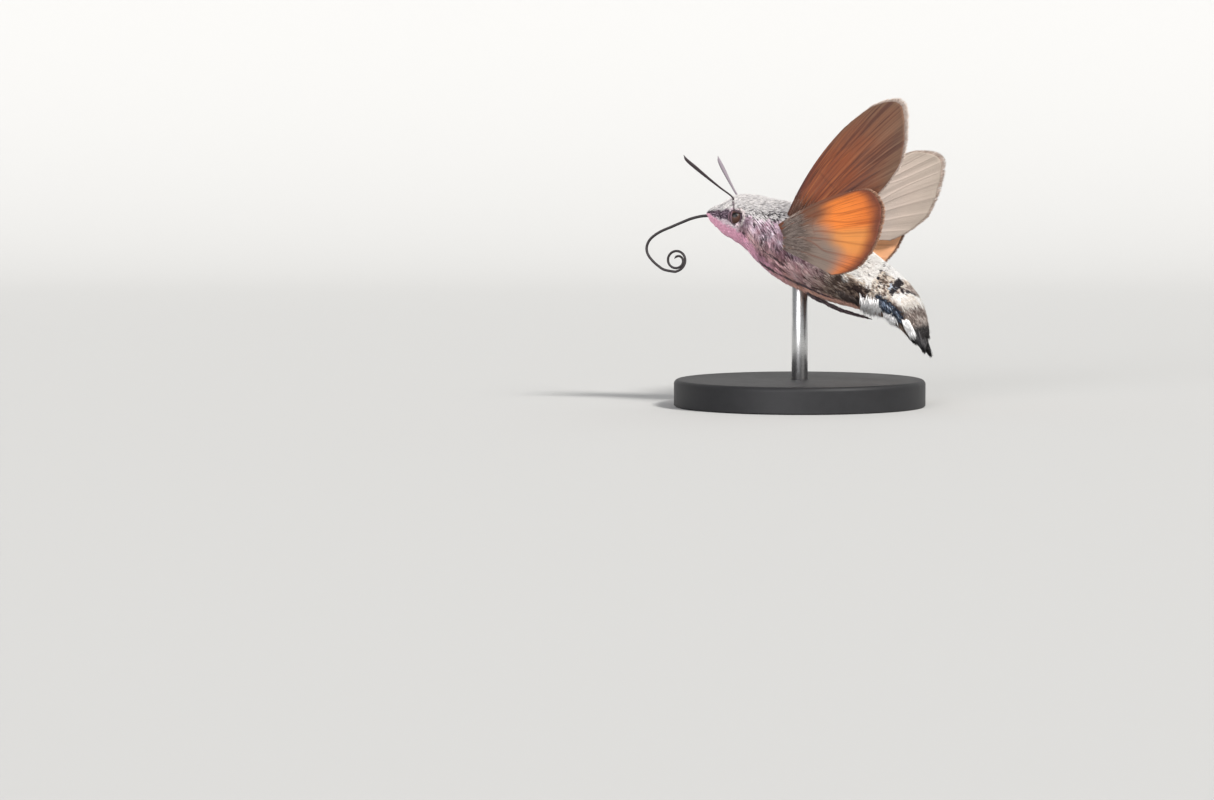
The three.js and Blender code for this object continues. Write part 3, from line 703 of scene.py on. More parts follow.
# a row of short black scales along the edge of the saddle
DASHES = 84
dash_paint = Paint("segment_line_finish", Roughness=0.6)
_, dash_chance, _ = dash_paint.attribute("lock")
dash_paint.use("Base Color", dash_paint.mix(dash_chance, (0.02, 0.018, 0.02), (0.12, 0.1, 0.1)))
a = np.radians(np.linspace(-97, 97, DASHES) + rng.normal(0, 0.7, DASHES))
k = 11.55 + 0.0046 * np.degrees(np.abs(a)) + rng.normal(0, 0.035, DASHES)
out = body(k, a, 1.0) - body(k, a)
points = free_blades(body(k, a, -0.12), body(k + 0.2, a) - body(k, a) + out * 0.14, out,
                     rng.uniform(0.22, 0.48, DASHES), rng.uniform(0.1, 0.2, DASHES), np.zeros(DASHES))
make("coat_segment_line", points, [blade_faces(DASHES)], dash_paint, (),
     {"lock": lock_attribute(chances(DASHES), np.zeros(DASHES))}, body_map(k, a))

# single fine hairs that stand off, most of them at the rear
HAIRS = 900
k, a = scatter(HAIRS, (1.2, 15.2), (-math.pi, math.pi))
k = np.where(chances(HAIRS) < 0.5, rng.uniform(10.5, 15.2, HAIRS), k)
root = body(k, a, -0.2)
ahead, out = unit(body(k + 0.05, a) - body(k - 0.05, a)), body(k, a, 1.0) - body(k, a)
long = rng.uniform(0.5, 1.15, HAIRS)
way = ahead + out * rng.uniform(0.25, 0.75, HAIRS)[:, None] + rng.normal(0, 0.12, (HAIRS, 3))
points = free_blades(root, way, out, long, rng.uniform(0.025, 0.045, HAIRS), -0.12 * long)
make("coat_hairs", points, [blade_faces(HAIRS)], coat_paint, (),
     {"place": np.repeat(place_of(k, a)[:, None], BLADE_POINTS, 1),
      "lock": lock_attribute(rng.uniform(0.4, 1, HAIRS), rng.uniform(0, 0.6, HAIRS))}, body_map(k, a))


# %% [markdown]
# ## Eyes
#
# The compound eye is a smooth ellipsoid with thousands of facets, far too small to model one by one, so they
# are a cell pattern in the finish. A dark spot is painted in the brown, with fainter dark stripes: it stands
# for the shade seen down the facets that face the viewer, which in life moves with the view.

# %% Build the eyes
EYE_PLACE, EYE_HALF, EYE_YAW = (-7.28, 1.72, 20.8), (0.86, 0.68, 0.78), 0.27
EYE_GRID = (50, 96)
eye_paint = Paint("eye_finish", Roughness=0.3, Specular_IOR_Level=0.3)
eye_across, eye_up, _ = eye_paint.attribute("look")
facets = eye_paint.node("ShaderNodeTexVoronoi", {"feature": "DISTANCE_TO_EDGE"},
                        {"Vector": eye_paint.place(), "Scale": 14.0})
stripes = (eye_across * 14 + 10).math("COSINE").smooth(-0.2, 0.5) * eye_across.smooth(0.05, -0.1)
# painted shade: the dark pseudopupil, fixed in one place on the eye
spot = ((eye_across - 0.4) ** 2 + (eye_up - 0.27) ** 2).math("SQRT").smooth(0.42, 0.33)
eye_colour = eye_paint.mix(eye_across.smooth(0.1, -0.15), (0.062, 0.028, 0.02), (0.22, 0.125, 0.16))
eye_colour = eye_paint.mix(stripes, eye_colour, (0.018, 0.01, 0.013))
eye_colour = eye_paint.mix(spot, eye_colour, (0.004, 0.003, 0.004))
eye_paint.use("Base Color", eye_colour)
eye_paint.bump(facets.smooth(0.0, 0.25), 0.004)

for side, sign in (("left", -1), ("right", 1)):
    lat, lon = np.meshgrid(np.linspace(0, math.pi, EYE_GRID[0]),
                           np.linspace(0, 2 * math.pi, EYE_GRID[1], endpoint=False), indexing="ij")
    ball = np.stack([np.sin(lat) * np.cos(lon), np.cos(lat), np.sin(lat) * np.sin(lon)], -1)
    egg = ball * EYE_HALF
    x, y, z = np.moveaxis(egg, -1, 0)
    cosine, sine = math.cos(EYE_YAW), sign * math.sin(EYE_YAW)
    egg = np.stack([x * cosine - y * sine, y * cosine + x * sine, z], -1)
    eye_points, eye_faces = capped_tube(egg + np.array([EYE_PLACE[0], sign * EYE_PLACE[1], EYE_PLACE[2]]))
    look = ball.reshape(-1, 3)[:, [0, 2, 1]]
    make("eyeball_" + side, eye_points, eye_faces, eye_paint, ("eye_" + side,),
         {"look": np.concatenate([look, look[:1], look[-1:]])})


# %% [markdown]
# ## Tubes along a path: antennae, tongue and legs
#
# These parts are all round rods along a curve whose radius changes. A ring of points is carried along the
# curve; its plane is square to the curve, and its first axis is the curve's direction crossed with a
# direction that the curve never takes.

# %% Carry a ring along a path
def even_path(points, count):
    """The spline through the points, sampled so that the steps have equal length."""
    fine = spline(points, np.linspace(0, len(points) - 1, 600))
    travelled = np.concatenate([[0], np.cumsum(np.linalg.norm(np.diff(fine, axis=0), axis=1))])
    steps = np.linspace(0, travelled[-1], count)
    return np.stack([np.interp(steps, travelled, fine[:, i]) for i in range(3)], -1)


def rings_along(path, radius, sides, never=(0, 1, 0), flat=1.0):
    """Rings about a path: centre + radius * (cos * first axis + sin * flat * second axis)."""
    ahead = unit(np.gradient(path, axis=0))
    first = unit(np.cross(ahead, never))
    second = np.cross(ahead, first)
    turn = np.linspace(0, 2 * math.pi, sides, endpoint=False)[None, :, None]
    radius = np.asarray(radius).reshape(-1, 1, 1)
    return path[:, None] + radius * (np.cos(turn) * first[:, None] + flat * np.sin(turn) * second[:, None])


def rod_place(rings):
    """The attribute of a rod's points: share of its length, and the sine and cosine round it."""
    rows, sides = rings.shape[:2]
    along = np.repeat(np.linspace(0, 1, rows)[:, None], sides, 1)
    turn = np.repeat(np.linspace(0, 2 * math.pi, sides, endpoint=False)[None], rows, 0)
    place = np.stack([along, np.sin(turn), np.cos(turn)], -1).reshape(-1, 3)
    return np.concatenate([place, [[0, 0, 0], [1, 0, 0]]])


print("rods are ready")


# %% [markdown]
# ## Antennae
#
# An antenna is a chain of some sixty short segments that thickens to a club and ends in a fine hook. Each
# segment bulges a little, which gives the fine rings.

# %% Build the antennae
ANTENNA_LENGTH, ANTENNA_RINGS = 7.6, 58
ANTENNA_STEPS, ANTENNA_SIDES = 420, 20
ANTENNA_AIM = {"left": (-4.6, -5.2, 4.0), "right": (-3.9, 4.3, 5.3)}
ANTENNA_STATION, ANTENNA_ANGLE = 3.6, math.radians(42)
antenna_paint = Paint("antenna_finish", Roughness=0.55)
ant_along, ant_lit_share, _ = antenna_paint.attribute("rod")
ring_wave = (ant_along * (2 * math.pi * ANTENNA_RINGS)).math("COSINE")
dark_side = antenna_paint.mix(ring_wave.smooth(0.2, 1.0) * 0.6, (0.03, 0.018, 0.022), (0.01, 0.007, 0.009))
# painted light: the pale lilac grey of the lit side, ringed like the rest
lit_side_colour = antenna_paint.mix(ring_wave.smooth(0.0, 1.0) * 0.4, (0.25, 0.21, 0.24), (0.12, 0.1, 0.115))
antenna_paint.use("Base Color", antenna_paint.mix(ant_lit_share.smooth(0.15, 0.45), dark_side, lit_side_colour))
antenna_paint.bump(antenna_paint.noise(antenna_paint.place(), 9.0), 0.03)

for side, sign in (("left", -1), ("right", 1)):
    direction = unit(np.array(ANTENNA_AIM[side]))
    root, start = (body(ANTENNA_STATION, -sign * ANTENNA_ANGLE, off) for off in (-0.4, 0.42))
    sag = unit(np.array([0, 0, 1]) - direction * direction[2])
    shares = np.array([0, 0.25, 0.5, 0.75, 0.94])
    guide = start + shares[:, None] * direction * ANTENNA_LENGTH - sag * (0.3 * shares * (1 - shares))[:, None]
    hook = start + direction * ANTENNA_LENGTH * 1.01 + sag * 0.15 + np.array([-0.05, 0, 0.1])
    path = even_path(np.concatenate([[root], guide, [hook]]), ANTENNA_STEPS)
    share = np.linspace(0, 1, ANTENNA_STEPS)
    # radius: a thin stem, a club in the outer third, a fine tip, and a small swelling for each segment
    swell = 0.105 + 0.125 * np.sin(math.pi * np.clip(share, 0, 0.98) ** 3.0) ** 0.8
    swell = swell * np.clip((1 - share) / 0.05, 0.18, 1) ** 0.6
    swell = swell * (1 + 0.035 * np.cos(2 * math.pi * ANTENNA_RINGS * share))
    rings = rings_along(path, swell, ANTENNA_SIDES, never=(0, 0, 1), flat=0.86)
    points, faces = capped_tube(rings)
    # painted light: the side towards the other antenna, and the top, are painted pale, as the sides that the
    # light falls on
    pale = unit(rings - path[:, None]) @ (np.array([0.25, -sign, 0.75]) / 1.27)
    rod = np.stack([np.repeat(share[:, None], ANTENNA_SIDES, 1), pale, pale], -1).reshape(-1, 3)
    make("feeler_" + side, points, faces, antenna_paint, ("antenna_" + side,),
         {"rod": np.concatenate([rod, [[0, 0, 0], [1, 0, 0]]])})


# %% [markdown]
# ## The tongue
#
# At rest it is a flat coil under the head; here the moth is uncoiling it, so a free arc ends in a coil of
# less than two turns. It is two halves zipped together, with a paler seam on both sides, and finely ringed.

# %% Build the tongue
TONGUE_ARC = [(-9.9, 21.15), (-10.8, 21.12), (-11.6, 21.05), (-12.7, 20.78), (-13.9, 20.3), (-15.05, 19.8),
              (-16.2, 19.3), (-17.1, 18.7), (-17.6, 18.1), (-17.78, 17.4), (-17.6, 16.7), (-17.1, 16.05),
              (-16.4, 15.45), (-15.65, 15.0)]
COIL_CENTRE, COIL_FROM, COIL_TO = (-14.5, 16.1), 1.32, 0.5  # the radius shrinks from the first to the second
COIL_START, COIL_TURN, COIL_DRIFT = -106, 610, 1.5  # degrees, degrees, millimetres to the side
TONGUE_STEPS, TONGUE_SIDES, TONGUE_RINGS = 800, 14, 190
tongue_paint = Paint("tongue_finish", Roughness=0.45, Specular_IOR_Level=0.35)
tongue_along, tongue_side, _ = tongue_paint.attribute("rod")
seam = tongue_side.math("ABSOLUTE").smooth(0.8, 1.0)
tongue_paint.use("Base Color", tongue_paint.mix(seam, (0.01, 0.008, 0.009), (0.026, 0.019, 0.02)))
tongue_paint.bump((tongue_along * (2 * math.pi * TONGUE_RINGS)).math("SINE"), 0.003)
turns = np.linspace(0, 1, 40)
coil_angle = np.radians(COIL_START + COIL_TURN * turns)
coil_radius = COIL_FROM + (COIL_TO - COIL_FROM) * turns
coil = np.stack([COIL_CENTRE[0] + coil_radius * np.cos(coil_angle), COIL_DRIFT * turns,
                 COIL_CENTRE[1] + coil_radius * np.sin(coil_angle)], -1)
arc = np.array([(x, 0, z) for x, z in TONGUE_ARC])
tongue_path = even_path(np.concatenate([arc, coil[1:]]), TONGUE_STEPS)
tongue_share = np.linspace(0, 1, TONGUE_STEPS)
tongue_radius = (0.165 - 0.035 * tongue_share) * np.clip((1 - tongue_share) / 0.015, 0.1, 1) ** 0.5
tongue_skin = rings_along(tongue_path, tongue_radius, TONGUE_SIDES)
points, faces = capped_tube(tongue_skin)
make("tongue", points, faces, tongue_paint, ("tongue_base", "tongue_bend", "tongue_coil"),
     {"rod": rod_place(tongue_skin)})


# %% [markdown]
# ## Legs
#
# In flight the legs are folded back against the body. Each has a stout thigh and shin covered in flat
# scales, and a thin foot of five short segments.

# %% Build the legs
# station, angle and distance of the leg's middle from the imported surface
LEGS = {
    "front": [(5.6, 150, -0.5), (6.0, 139, -0.35), (6.5, 131, -0.3), (7.1, 127, -0.15), (7.8, 125, -0.04),
              (8.5, 128, 0.0)],
    "middle": [(6.8, 166, -0.5), (7.2, 157, -0.1), (7.7, 152, 0.0), (8.4, 147, 0.02), (9.0, 146, 0.02),
               (9.6, 149, 0.03), (10.2, 153, 0.08)],
    "hind": [(8.9, 170, -0.5), (9.3, 170, 0.1), (9.8, 169, 0.4), (10.4, 168, 0.7), (11.0, 167, 0.78),
             (11.6, 167, 0.78), (12.2, 167, 0.78)],
}
LEG_GIRTH = {"front": 0.78, "middle": 0.85, "hind": 1.0}
LEG_STEPS, LEG_SIDES, LEG_SCALES = 220, 14, 420
leg_paint = Paint("leg_finish", Roughness=0.5)
leg_along, leg_chance, _ = leg_paint.attribute("lock")
leg_mottle = leg_paint.noise(leg_paint.place(), 5.0, 3.0).smooth(0.4, 0.7)
leg_colour = leg_paint.mix(leg_mottle, (0.022, 0.013, 0.016), (0.07, 0.04, 0.045))
# painted sheen: the pinkish tips of some scales
leg_colour = leg_paint.mix(leg_chance.smooth(0.75, 0.95) * leg_along, leg_colour, (0.26, 0.17, 0.2))
leg_paint.use("Base Color", leg_colour)
leg_paint.bump(leg_paint.noise(leg_paint.place(), 9.0, 3.0), 0.05)


def leg_radius(share):
    """Radius along a leg: thigh and shin, with a narrow knee, then a foot of five segments to a fine tip."""
    shin = 0.24 - 0.05 * share - 0.06 * np.exp(-(((share - 0.36) / 0.03) ** 2))
    foot = 0.19 - 0.3 * (share - 0.62) + 0.012 * np.cos(2 * math.pi * 5 * (share - 0.62) / 0.38)
    blend = np.clip((share - 0.6) / 0.05, 0, 1)
    return (shin * (1 - blend) + foot * blend) * np.clip((1 - share) / 0.03, 0.15, 1) ** 0.5


for side, sign in (("left", -1), ("right", 1)):
    for pair, route in LEGS.items():
        stops = np.array(route)
        path = even_path(body(stops[:, 0], -sign * np.radians(stops[:, 1]), stops[:, 2]), LEG_STEPS)
        girths = leg_radius(np.linspace(0, 1, LEG_STEPS)) * LEG_GIRTH[pair]
        rings = rings_along(path, girths, LEG_SIDES, never=(0, 0, 1), flat=0.85)
        points, faces = capped_tube(rings)
        # short scales lie along the leg, their tips standing off a little
        row, column = rng.integers(6, LEG_STEPS - 20, LEG_SCALES), rng.integers(0, LEG_SIDES, LEG_SCALES)
        root = rings[row, column]
        out, ahead = unit(root - path[row]), unit(path[row + 4] - path[row - 4])
        way = ahead + out * rng.uniform(0.1, 0.32, LEG_SCALES)[:, None]
        scales = free_blades(root - out * 0.03, way, out, rng.uniform(0.25, 0.5, LEG_SCALES),
                             rng.uniform(0.07, 0.12, LEG_SCALES), np.zeros(LEG_SCALES))
        lock = lock_attribute(chances(LEG_SCALES), chances(LEG_SCALES))
        blank = np.zeros((len(points), 3))
        make("limb_%s_%s" % (pair, side), np.concatenate([points, scales.reshape(-1, 3)]),
             [*faces, blade_faces(LEG_SCALES) + len(points)], leg_paint, ("leg_%s_%s" % (pair, side),),
             {"lock": np.concatenate([blank, lock.reshape(-1, 3)])})


# %% [markdown]
# ## Wings
#
# A wing is drawn flat first: p runs from the root to the tip and q from the front edge back. Lines fan out
# from the root to the margin. Then the flat plan is bent a little and turned into its place. The membrane
# is thin, and the veins are ridges raised in it on both faces.

# %% The wings' plans
WING_ROOT, WING_SPAN = (-1.0, 2.6, 20.6), 21.5
# degrees of sweep back, raise and pitch, and how far the tip bends up
WING_POSE = {"left": (48.5, 35.5, 86.5, 2.8), "right": (40.9, 29.1, 107.0, 1.3)}
# root, front, rear and margin are points of the flat plan. A vein is given by its share across at the margin,
# that of its stem, and where it leaves the stem. cell is the cross vein, shift and fan place the plan, layer is
# how high it lies, inside is where the membrane starts within the body, and grid counts its lines and points.
FOREWING = dict(
    root=((-0.6, 0), (-0.6, 3.3)), front=(6.2, -2.5), rear=(7.4, 4.6),
    margin=[(13.4, -2.4), (18.1, -1.7), (21.2, 0.2), (20.9, 2.8), (18.5, 6.2), (14.3, 8.3)],
    veins=[(0.05, 0.05, 0), (0.13, 0.13, 0), (0.2, 0.15, 0.36), (0.28, 0.17, 0.4), (0.36, 0.19, 0.46),
           (0.45, 0.36, 0.5), (0.54, 0.6, 0.5), (0.62, 0.66, 0.44), (0.71, 0.69, 0.0), (0.8, 0.72, 0.3),
           (0.92, 0.9, 0)],
    cell=(0.15, 0.67, 0.5), shift=(0, 0), fan={"left": 0, "right": 1.5}, layer=0.0,
    inside=-0.08, grid=(161, 110))
HINDWING = dict(
    root=((-2.2, -0.8), (-2.2, 2.2)), front=(4.2, -1.9), rear=(2.4, 4.8),
    margin=[(9.5, -1.5), (13.0, -0.9), (14.8, 1.2), (14.6, 3.3), (13.2, 5.6), (10.6, 7.2), (7.2, 7.9)],
    veins=[(0.07, 0.07, 0), (0.2, 0.22, 0), (0.33, 0.25, 0.42), (0.45, 0.36, 0.46), (0.56, 0.5, 0.42),
           (0.66, 0.56, 0.0), (0.77, 0.62, 0.3), (0.88, 0.86, 0)],
    cell=(0.23, 0.55, 0.44), shift=(1.6, 2.3), fan={"left": 25, "right": 7}, layer=-1.15,
    inside=-0.18, grid=(131, 92))


def plan_point(plan, t, f):
    """A point of the flat plan: the parabola from the root through a bend to the margin, at share f of its
    way, on the line that lies at share t between the front and the rear edge."""
    t, f = np.broadcast_arrays(t, f)
    end = spline(plan["margin"], t * (len(plan["margin"]) - 1))
    t, f = t[..., None], f[..., None]
    bends = plan["front"], plan["rear"]
    start, bend = ((1 - t) * np.array(front) + t * np.array(rear) for front, rear in (plan["root"], bends))
    return (1 - f) ** 2 * start + 2 * f * (1 - f) * bend + f**2 * end


def pose_wing(side, plan, flat, height):
    """The flat plan turned in its own plane, lifted by height and bent up towards the tip, then pitched,
    raised and swept back at the root."""
    fan = math.radians(plan["fan"][side])
    p = plan["shift"][0] + flat[..., 0] * math.cos(fan) - flat[..., 1] * math.sin(fan)
    q = plan["shift"][1] + flat[..., 0] * math.sin(fan) + flat[..., 1] * math.cos(fan)
    sweep_back, raised, pitch, bend = WING_POSE[side]
    up = height + plan["layer"] + bend * (np.maximum(p, 0) / WING_SPAN) ** 2
    turn = (Matrix.Rotation(-math.radians(sweep_back), 3, "Z") @ Matrix.Rotation(math.radians(raised), 3, "X")
            @ Matrix.Rotation(math.radians(pitch), 3, "Y"))
    sign = -1 if side == "left" else 1
    return (np.stack([q, p, up], -1) @ np.array(turn).T + WING_ROOT) * (1, sign, 1)


def vein_height(plan, t, f):
    """How strong a vein is at a place, from 0 to 1: each vein leaves its stem at share start and swings
    from there to its own line; a bell of a tenth of a millimetre about it makes the ridge."""
    spread = np.linalg.norm(plan_point(plan, 1.0, f) - plan_point(plan, 0.0, f), axis=-1)
    strength = np.zeros(np.broadcast(t, f).shape)
    for end, stem, start in plan["veins"]:
        swing = np.clip((f - start) / 0.32, 0, 1) if start else f
        line = stem + (end - stem) * (swing * swing * (3 - 2 * swing))
        ridge = np.exp(-(((t - line) * spread / (0.11 - 0.05 * f)) ** 2))
        ridge = ridge * np.clip((f - start + 0.02) / 0.03, 0, 1)
        strength = np.maximum(strength, ridge * (1 - 0.45 * f))
    front, rear, reach = plan["cell"]
    bar = reach - 0.035 * np.sin(math.pi * (t - front) / (rear - front))
    across = np.exp(-(((f - bar) * 16 / 0.1) ** 2)) * (t > front) * (t < rear)
    return np.maximum(strength, across * 0.6)


print("the forewing is", WING_SPAN, "mm long")


# %% [markdown]
# ## The finish of the wings
#
# Moth wings are covered in tiny overlapping scales like roof tiles. Seen from below the forewing is rusty
# brown and the hindwing orange with a dark border and a greyish base. From above the forewing is grey-brown
# with two dark wavy lines. A fine streaky grain runs along the veins. The plan's own numbers drive all this:
# the share along the line, the share across, and which face it is.

# %% Paint the wings
def wing_grain(paint, along, across, fine):
    """Noise drawn out along the veins."""
    stretched = paint.node("ShaderNodeCombineXYZ", None, [along * 1.8, across * fine, 0.0])
    return paint.noise(stretched, 1.0, 4.0, 0.6)


def finish_wing(paint, colour, grain, where):
    """The colour with the bump of rows of tiny scales."""
    paint.use("Base Color", colour)
    scales = paint.node("ShaderNodeTexVoronoi", {"feature": "F1"}, {"Vector": where, "Scale": 7.0})
    paint.bump(grain * 0.7 + scales * 0.5, 0.035)
    return paint


def forewing_finish():
    paint = Paint("forewing_finish", Roughness=0.6, Specular_IOR_Level=0.2)
    along, across, face = paint.attribute("plan")
    vein, _, _ = paint.attribute("relief")
    where = paint.place()
    grain = wing_grain(paint, along, across, 110)
    broad = wing_grain(paint, along, across, 22)
    cloud = paint.noise(where, 0.35, 3.0)
    # below: rust, in broad streaks between the veins, dark along the front edge and greyer towards the tip
    rust = paint.ramp(along + (cloud - 0.5) * 0.25, [
        (0.0, (0.2, 0.085, 0.06)), (0.25, (0.25, 0.072, 0.035)), (0.6, (0.24, 0.07, 0.032)),
        (0.85, (0.19, 0.085, 0.05)), (1.0, (0.15, 0.09, 0.06))])
    rust = paint.mix(broad.smooth(0.5, 0.64) * along.smooth(1.0, 0.3) * 0.9, rust, (0.42, 0.14, 0.05))
    rust = paint.mix(broad.smooth(0.48, 0.36) * 0.7, rust, (0.075, 0.03, 0.025))
    rust = paint.mix(grain.smooth(0.5, 0.7) * 0.3, rust, (0.34, 0.2, 0.13))
    rust = paint.mix(across.smooth(0.16, 0.02) * along.smooth(0.75, 0.2), rust, (0.07, 0.022, 0.025))
    # painted shade: a dark band along the rear of the lower face, next to the hindwing
    below = paint.mix(across.band(0.86, 0.07, 0.1) * along.smooth(0.9, 0.4) * 0.7, rust, (0.085, 0.05, 0.05))
    # above: grey-brown with two wavy dark lines and a spot, paler and pinkish outwards
    wave = (across * 21).math("SINE") * 0.012 + (across * 9 + 1.0).math("SINE") * 0.02
    place = along + wave + (grain - 0.5) * 0.03
    grey = paint.ramp(along + (cloud - 0.5) * 0.15, [
        (0.0, (0.26, 0.21, 0.19)), (0.4, (0.34, 0.28, 0.26)), (0.6, (0.44, 0.37, 0.33)),
        (0.8, (0.46, 0.38, 0.33)), (1.0, (0.38, 0.32, 0.27))])
    lines = place.band(0.33, 0.008, 0.012) + place.band(0.53, 0.01, 0.014)
    lines = lines + place.band(0.95, 0.015, 0.03) * 0.12
    spot = along.band(0.44, 0.006, 0.008) * across.band(0.3, 0.02, 0.02)
    above = paint.mix((lines + spot).smooth(0.0, 1.0) * 0.75, grey, (0.07, 0.05, 0.045))
    above = paint.mix(grain.smooth(0.45, 0.25) * 0.3, above, (0.16, 0.12, 0.11))
    colour = paint.mix(face.smooth(0.4, 0.6), below, above)
    vein_colour = paint.mix(face.smooth(0.4, 0.6), (0.07, 0.03, 0.022), (0.42, 0.34, 0.3))
    colour = paint.mix(vein * 0.55, colour, vein_colour)
    return finish_wing(paint, colour, grain, where)


def hindwing_finish():
    paint = Paint("hindwing_finish", Roughness=0.58, Specular_IOR_Level=0.2)
    along, across, face = paint.attribute("plan")
    vein, _, _ = paint.attribute("relief")
    where = paint.place()
    grain = wing_grain(paint, along, across, 90)
    cloud = paint.noise(where, 0.4, 3.0)
    below_only = face.smooth(0.6, 0.4)
    # the orange is the wing's own, brightened as a painted glow of light shining through the membrane
    orange = paint.ramp(along + (cloud - 0.5) * 0.12, [
        (0.0, (0.25, 0.1, 0.05)), (0.3, (0.7, 0.18, 0.04)), (0.45, (0.94, 0.27, 0.05)),
        (0.75, (0.86, 0.24, 0.045)), (1.0, (0.6, 0.15, 0.035))])
    orange = paint.mix(grain.smooth(0.47, 0.36) * 0.55, orange, (0.24, 0.04, 0.01))
    patch = across.band(0.64, 0.07, 0.1) * along.band(0.74, 0.12, 0.12) * 0.6
    orange = paint.mix(patch, orange, (0.75, 0.34, 0.1))
    border = (along + (cloud - 0.5) * 0.05).smooth(0.86, 0.98)
    colour = paint.mix(border * 0.9, orange, (0.11, 0.04, 0.03))
    colour = paint.mix(across.smooth(0.17, 0.06) * below_only * 0.9, colour, (0.15, 0.06, 0.04))
    # below, the rear part and the base are grey-beige
    rear = (across + (cloud - 0.5) * 0.12 - along * 0.12).smooth(0.56, 0.7) * along.smooth(0.98, 0.6)
    colour = paint.mix(rear * below_only * 0.9, colour, (0.27, 0.2, 0.165))
    limit = paint.ramp(across, [(0.0, 0.62), (0.22, 0.6), (0.38, 0.52), (0.6, 0.64), (0.8, 0.74), (1.0, 0.84)])
    base = (along - limit + (cloud - 0.5) * 0.1).smooth(0.1, -0.15)
    bare = paint.mix(across.smooth(0.25, 0.5), (0.17, 0.085, 0.055), (0.25, 0.195, 0.16))
    bare = paint.mix(grain.smooth(0.5, 0.3) * 0.6, bare, (0.07, 0.045, 0.04))
    colour = paint.mix(base * (below_only * 0.25 + 0.7), colour, bare)
    # painted light: the upper face is the wing's own orange, painted paler as if in full light
    colour = paint.mix((1 - below_only) * 0.75, colour, (0.99, 0.52, 0.28))
    colour = paint.mix(vein * 0.6, colour, (0.18, 0.04, 0.014))
    return finish_wing(paint, colour, grain, where)


fore_paint, hind_paint = forewing_finish(), hindwing_finish()
print("wing finishes are ready")


# %% [markdown]
# ## Building the wings
#
# Upper and lower face are two grids of the same lines, joined by a narrow strip all round, so that each
# wing is one closed sheet. The membrane sags slightly between the veins, like cloth between its ribs.

# %% Build the four wings
MEMBRANE, VEIN_RISE, FRONT_EDGE = 0.05, 0.075, 0.05  # half thickness, and what veins and front edge add to it
SAG, FLUTTER = 0.03, 0.22  # depth of the sag between veins, height of the waves at the rear edge
EDGE = 0.975  # the membrane ends here and the fringe goes on to the margin


def membrane_edge(t):
    """Share of the line at which the membrane ends: it rounds off the rear corner."""
    return EDGE * (1 - 0.14 * np.clip((t - 0.8) / 0.2, 0, 1) ** 2.5)


def wing_height(t, f):
    """Ripples of the membrane: it sags between the veins and flutters a little at the rear edge."""
    ripple = SAG * np.cos(2 * math.pi * 8.5 * t) * np.clip(f * 1.6, 0, 1)
    return ripple + FLUTTER * np.sin(7.5 * f + 2.0) * np.clip(t - 0.55, 0, 1) ** 1.5 * np.clip(f, 0, 1)


def build_wing(name, node, side, plan, paint):
    """One wing as a closed sheet: the plan's grid, raised and lowered by half the thickness of its place."""
    lines, stations = plan["grid"]
    t, share = np.meshgrid(np.linspace(0, 1, lines), np.linspace(0, 1, stations), indexing="ij")
    f = plan["inside"] + (membrane_edge(t) - plan["inside"]) * share
    flat = plan_point(plan, t, f)
    vein = vein_height(plan, t, np.clip(f, 0, 1))
    middle = wing_height(t, f)
    thick = MEMBRANE + VEIN_RISE * vein + FRONT_EDGE * np.exp(-((t / 0.03) ** 2)) * (1 - 0.6 * f)
    upper = pose_wing(side, plan, flat, middle + thick)
    lower = pose_wing(side, plan, flat, middle - thick)
    count = lines * stations
    top = grid_faces(lines, stations)
    under = top[:, ::-1] + count
    here = np.arange(count).reshape(lines, stations)
    rim = np.concatenate([here[:, -1], here[-1, ::-1][1:], here[::-1, 0][1:], here[0, :][1:]])
    strip = np.stack([rim[1:], rim[:-1], rim[:-1] + count, rim[1:] + count], -1)
    faces = np.concatenate([top, under, strip])
    if side == "left":
        faces = faces[:, ::-1]
    points = np.concatenate([upper.reshape(-1, 3), lower.reshape(-1, 3)])
    numbers = [np.stack([f, t, np.full_like(t, level)], -1).reshape(-1, 3) for level in (1.0, 0.0)]
    relief = np.tile(np.stack([vein, t, f], -1).reshape(-1, 3), (2, 1))
    return make("%s_%s" % (name, side), points, [faces], paint, ("%s_%s" % (node, side),),
                {"plan": np.concatenate(numbers), "relief": relief})


for side in ("left", "right"):
    build_wing("upper_wing", "forewing", side, FOREWING, fore_paint)
    build_wing("lower_wing", "hindwing", side, HINDWING, hind_paint)


# %% [markdown]
# ## Fringes and hair on the wings
#
# A fringe of longer scales runs along each wing's margin, and hair covers the wing's root on both faces. They
# are the same ridged blades as in the coat, each laid along a straight, slightly bent line.

# %% Fringes and hair
FRINGE_COUNT = 1500
HAIR_BELOW = 0.62  # the share of the hair that grows on the lower face
# each finish: the colours by chance, the colour at the root, and the wing's own colour for blades further out
BLADE_FINISHES = {
    "forewing_fringe_finish": (
        [(0.0, (0.32, 0.25, 0.21)), (1.0, (0.66, 0.56, 0.5))], (0.3, 0.21, 0.17), (0.2, 0.1, 0.07)),
    "hindwing_fringe_finish": (
        [(0.0, (0.16, 0.07, 0.045)), (1.0, (0.5, 0.3, 0.2))], (0.12, 0.045, 0.03), (0.2, 0.1, 0.07)),
    "wing_hair_finish": (
        [(0.0, (0.09, 0.065, 0.06)), (0.3, (0.26, 0.2, 0.17)), (1.0, (0.48, 0.4, 0.35))],
        (0.14, 0.1, 0.09), (0.25, 0.17, 0.13)),
    "wing_root_hair_finish": (
        [(0.0, (0.08, 0.04, 0.03)), (0.6, (0.28, 0.13, 0.08)), (1.0, (0.46, 0.31, 0.25))],
        (0.1, 0.05, 0.04), (0.26, 0.1, 0.055)),
}


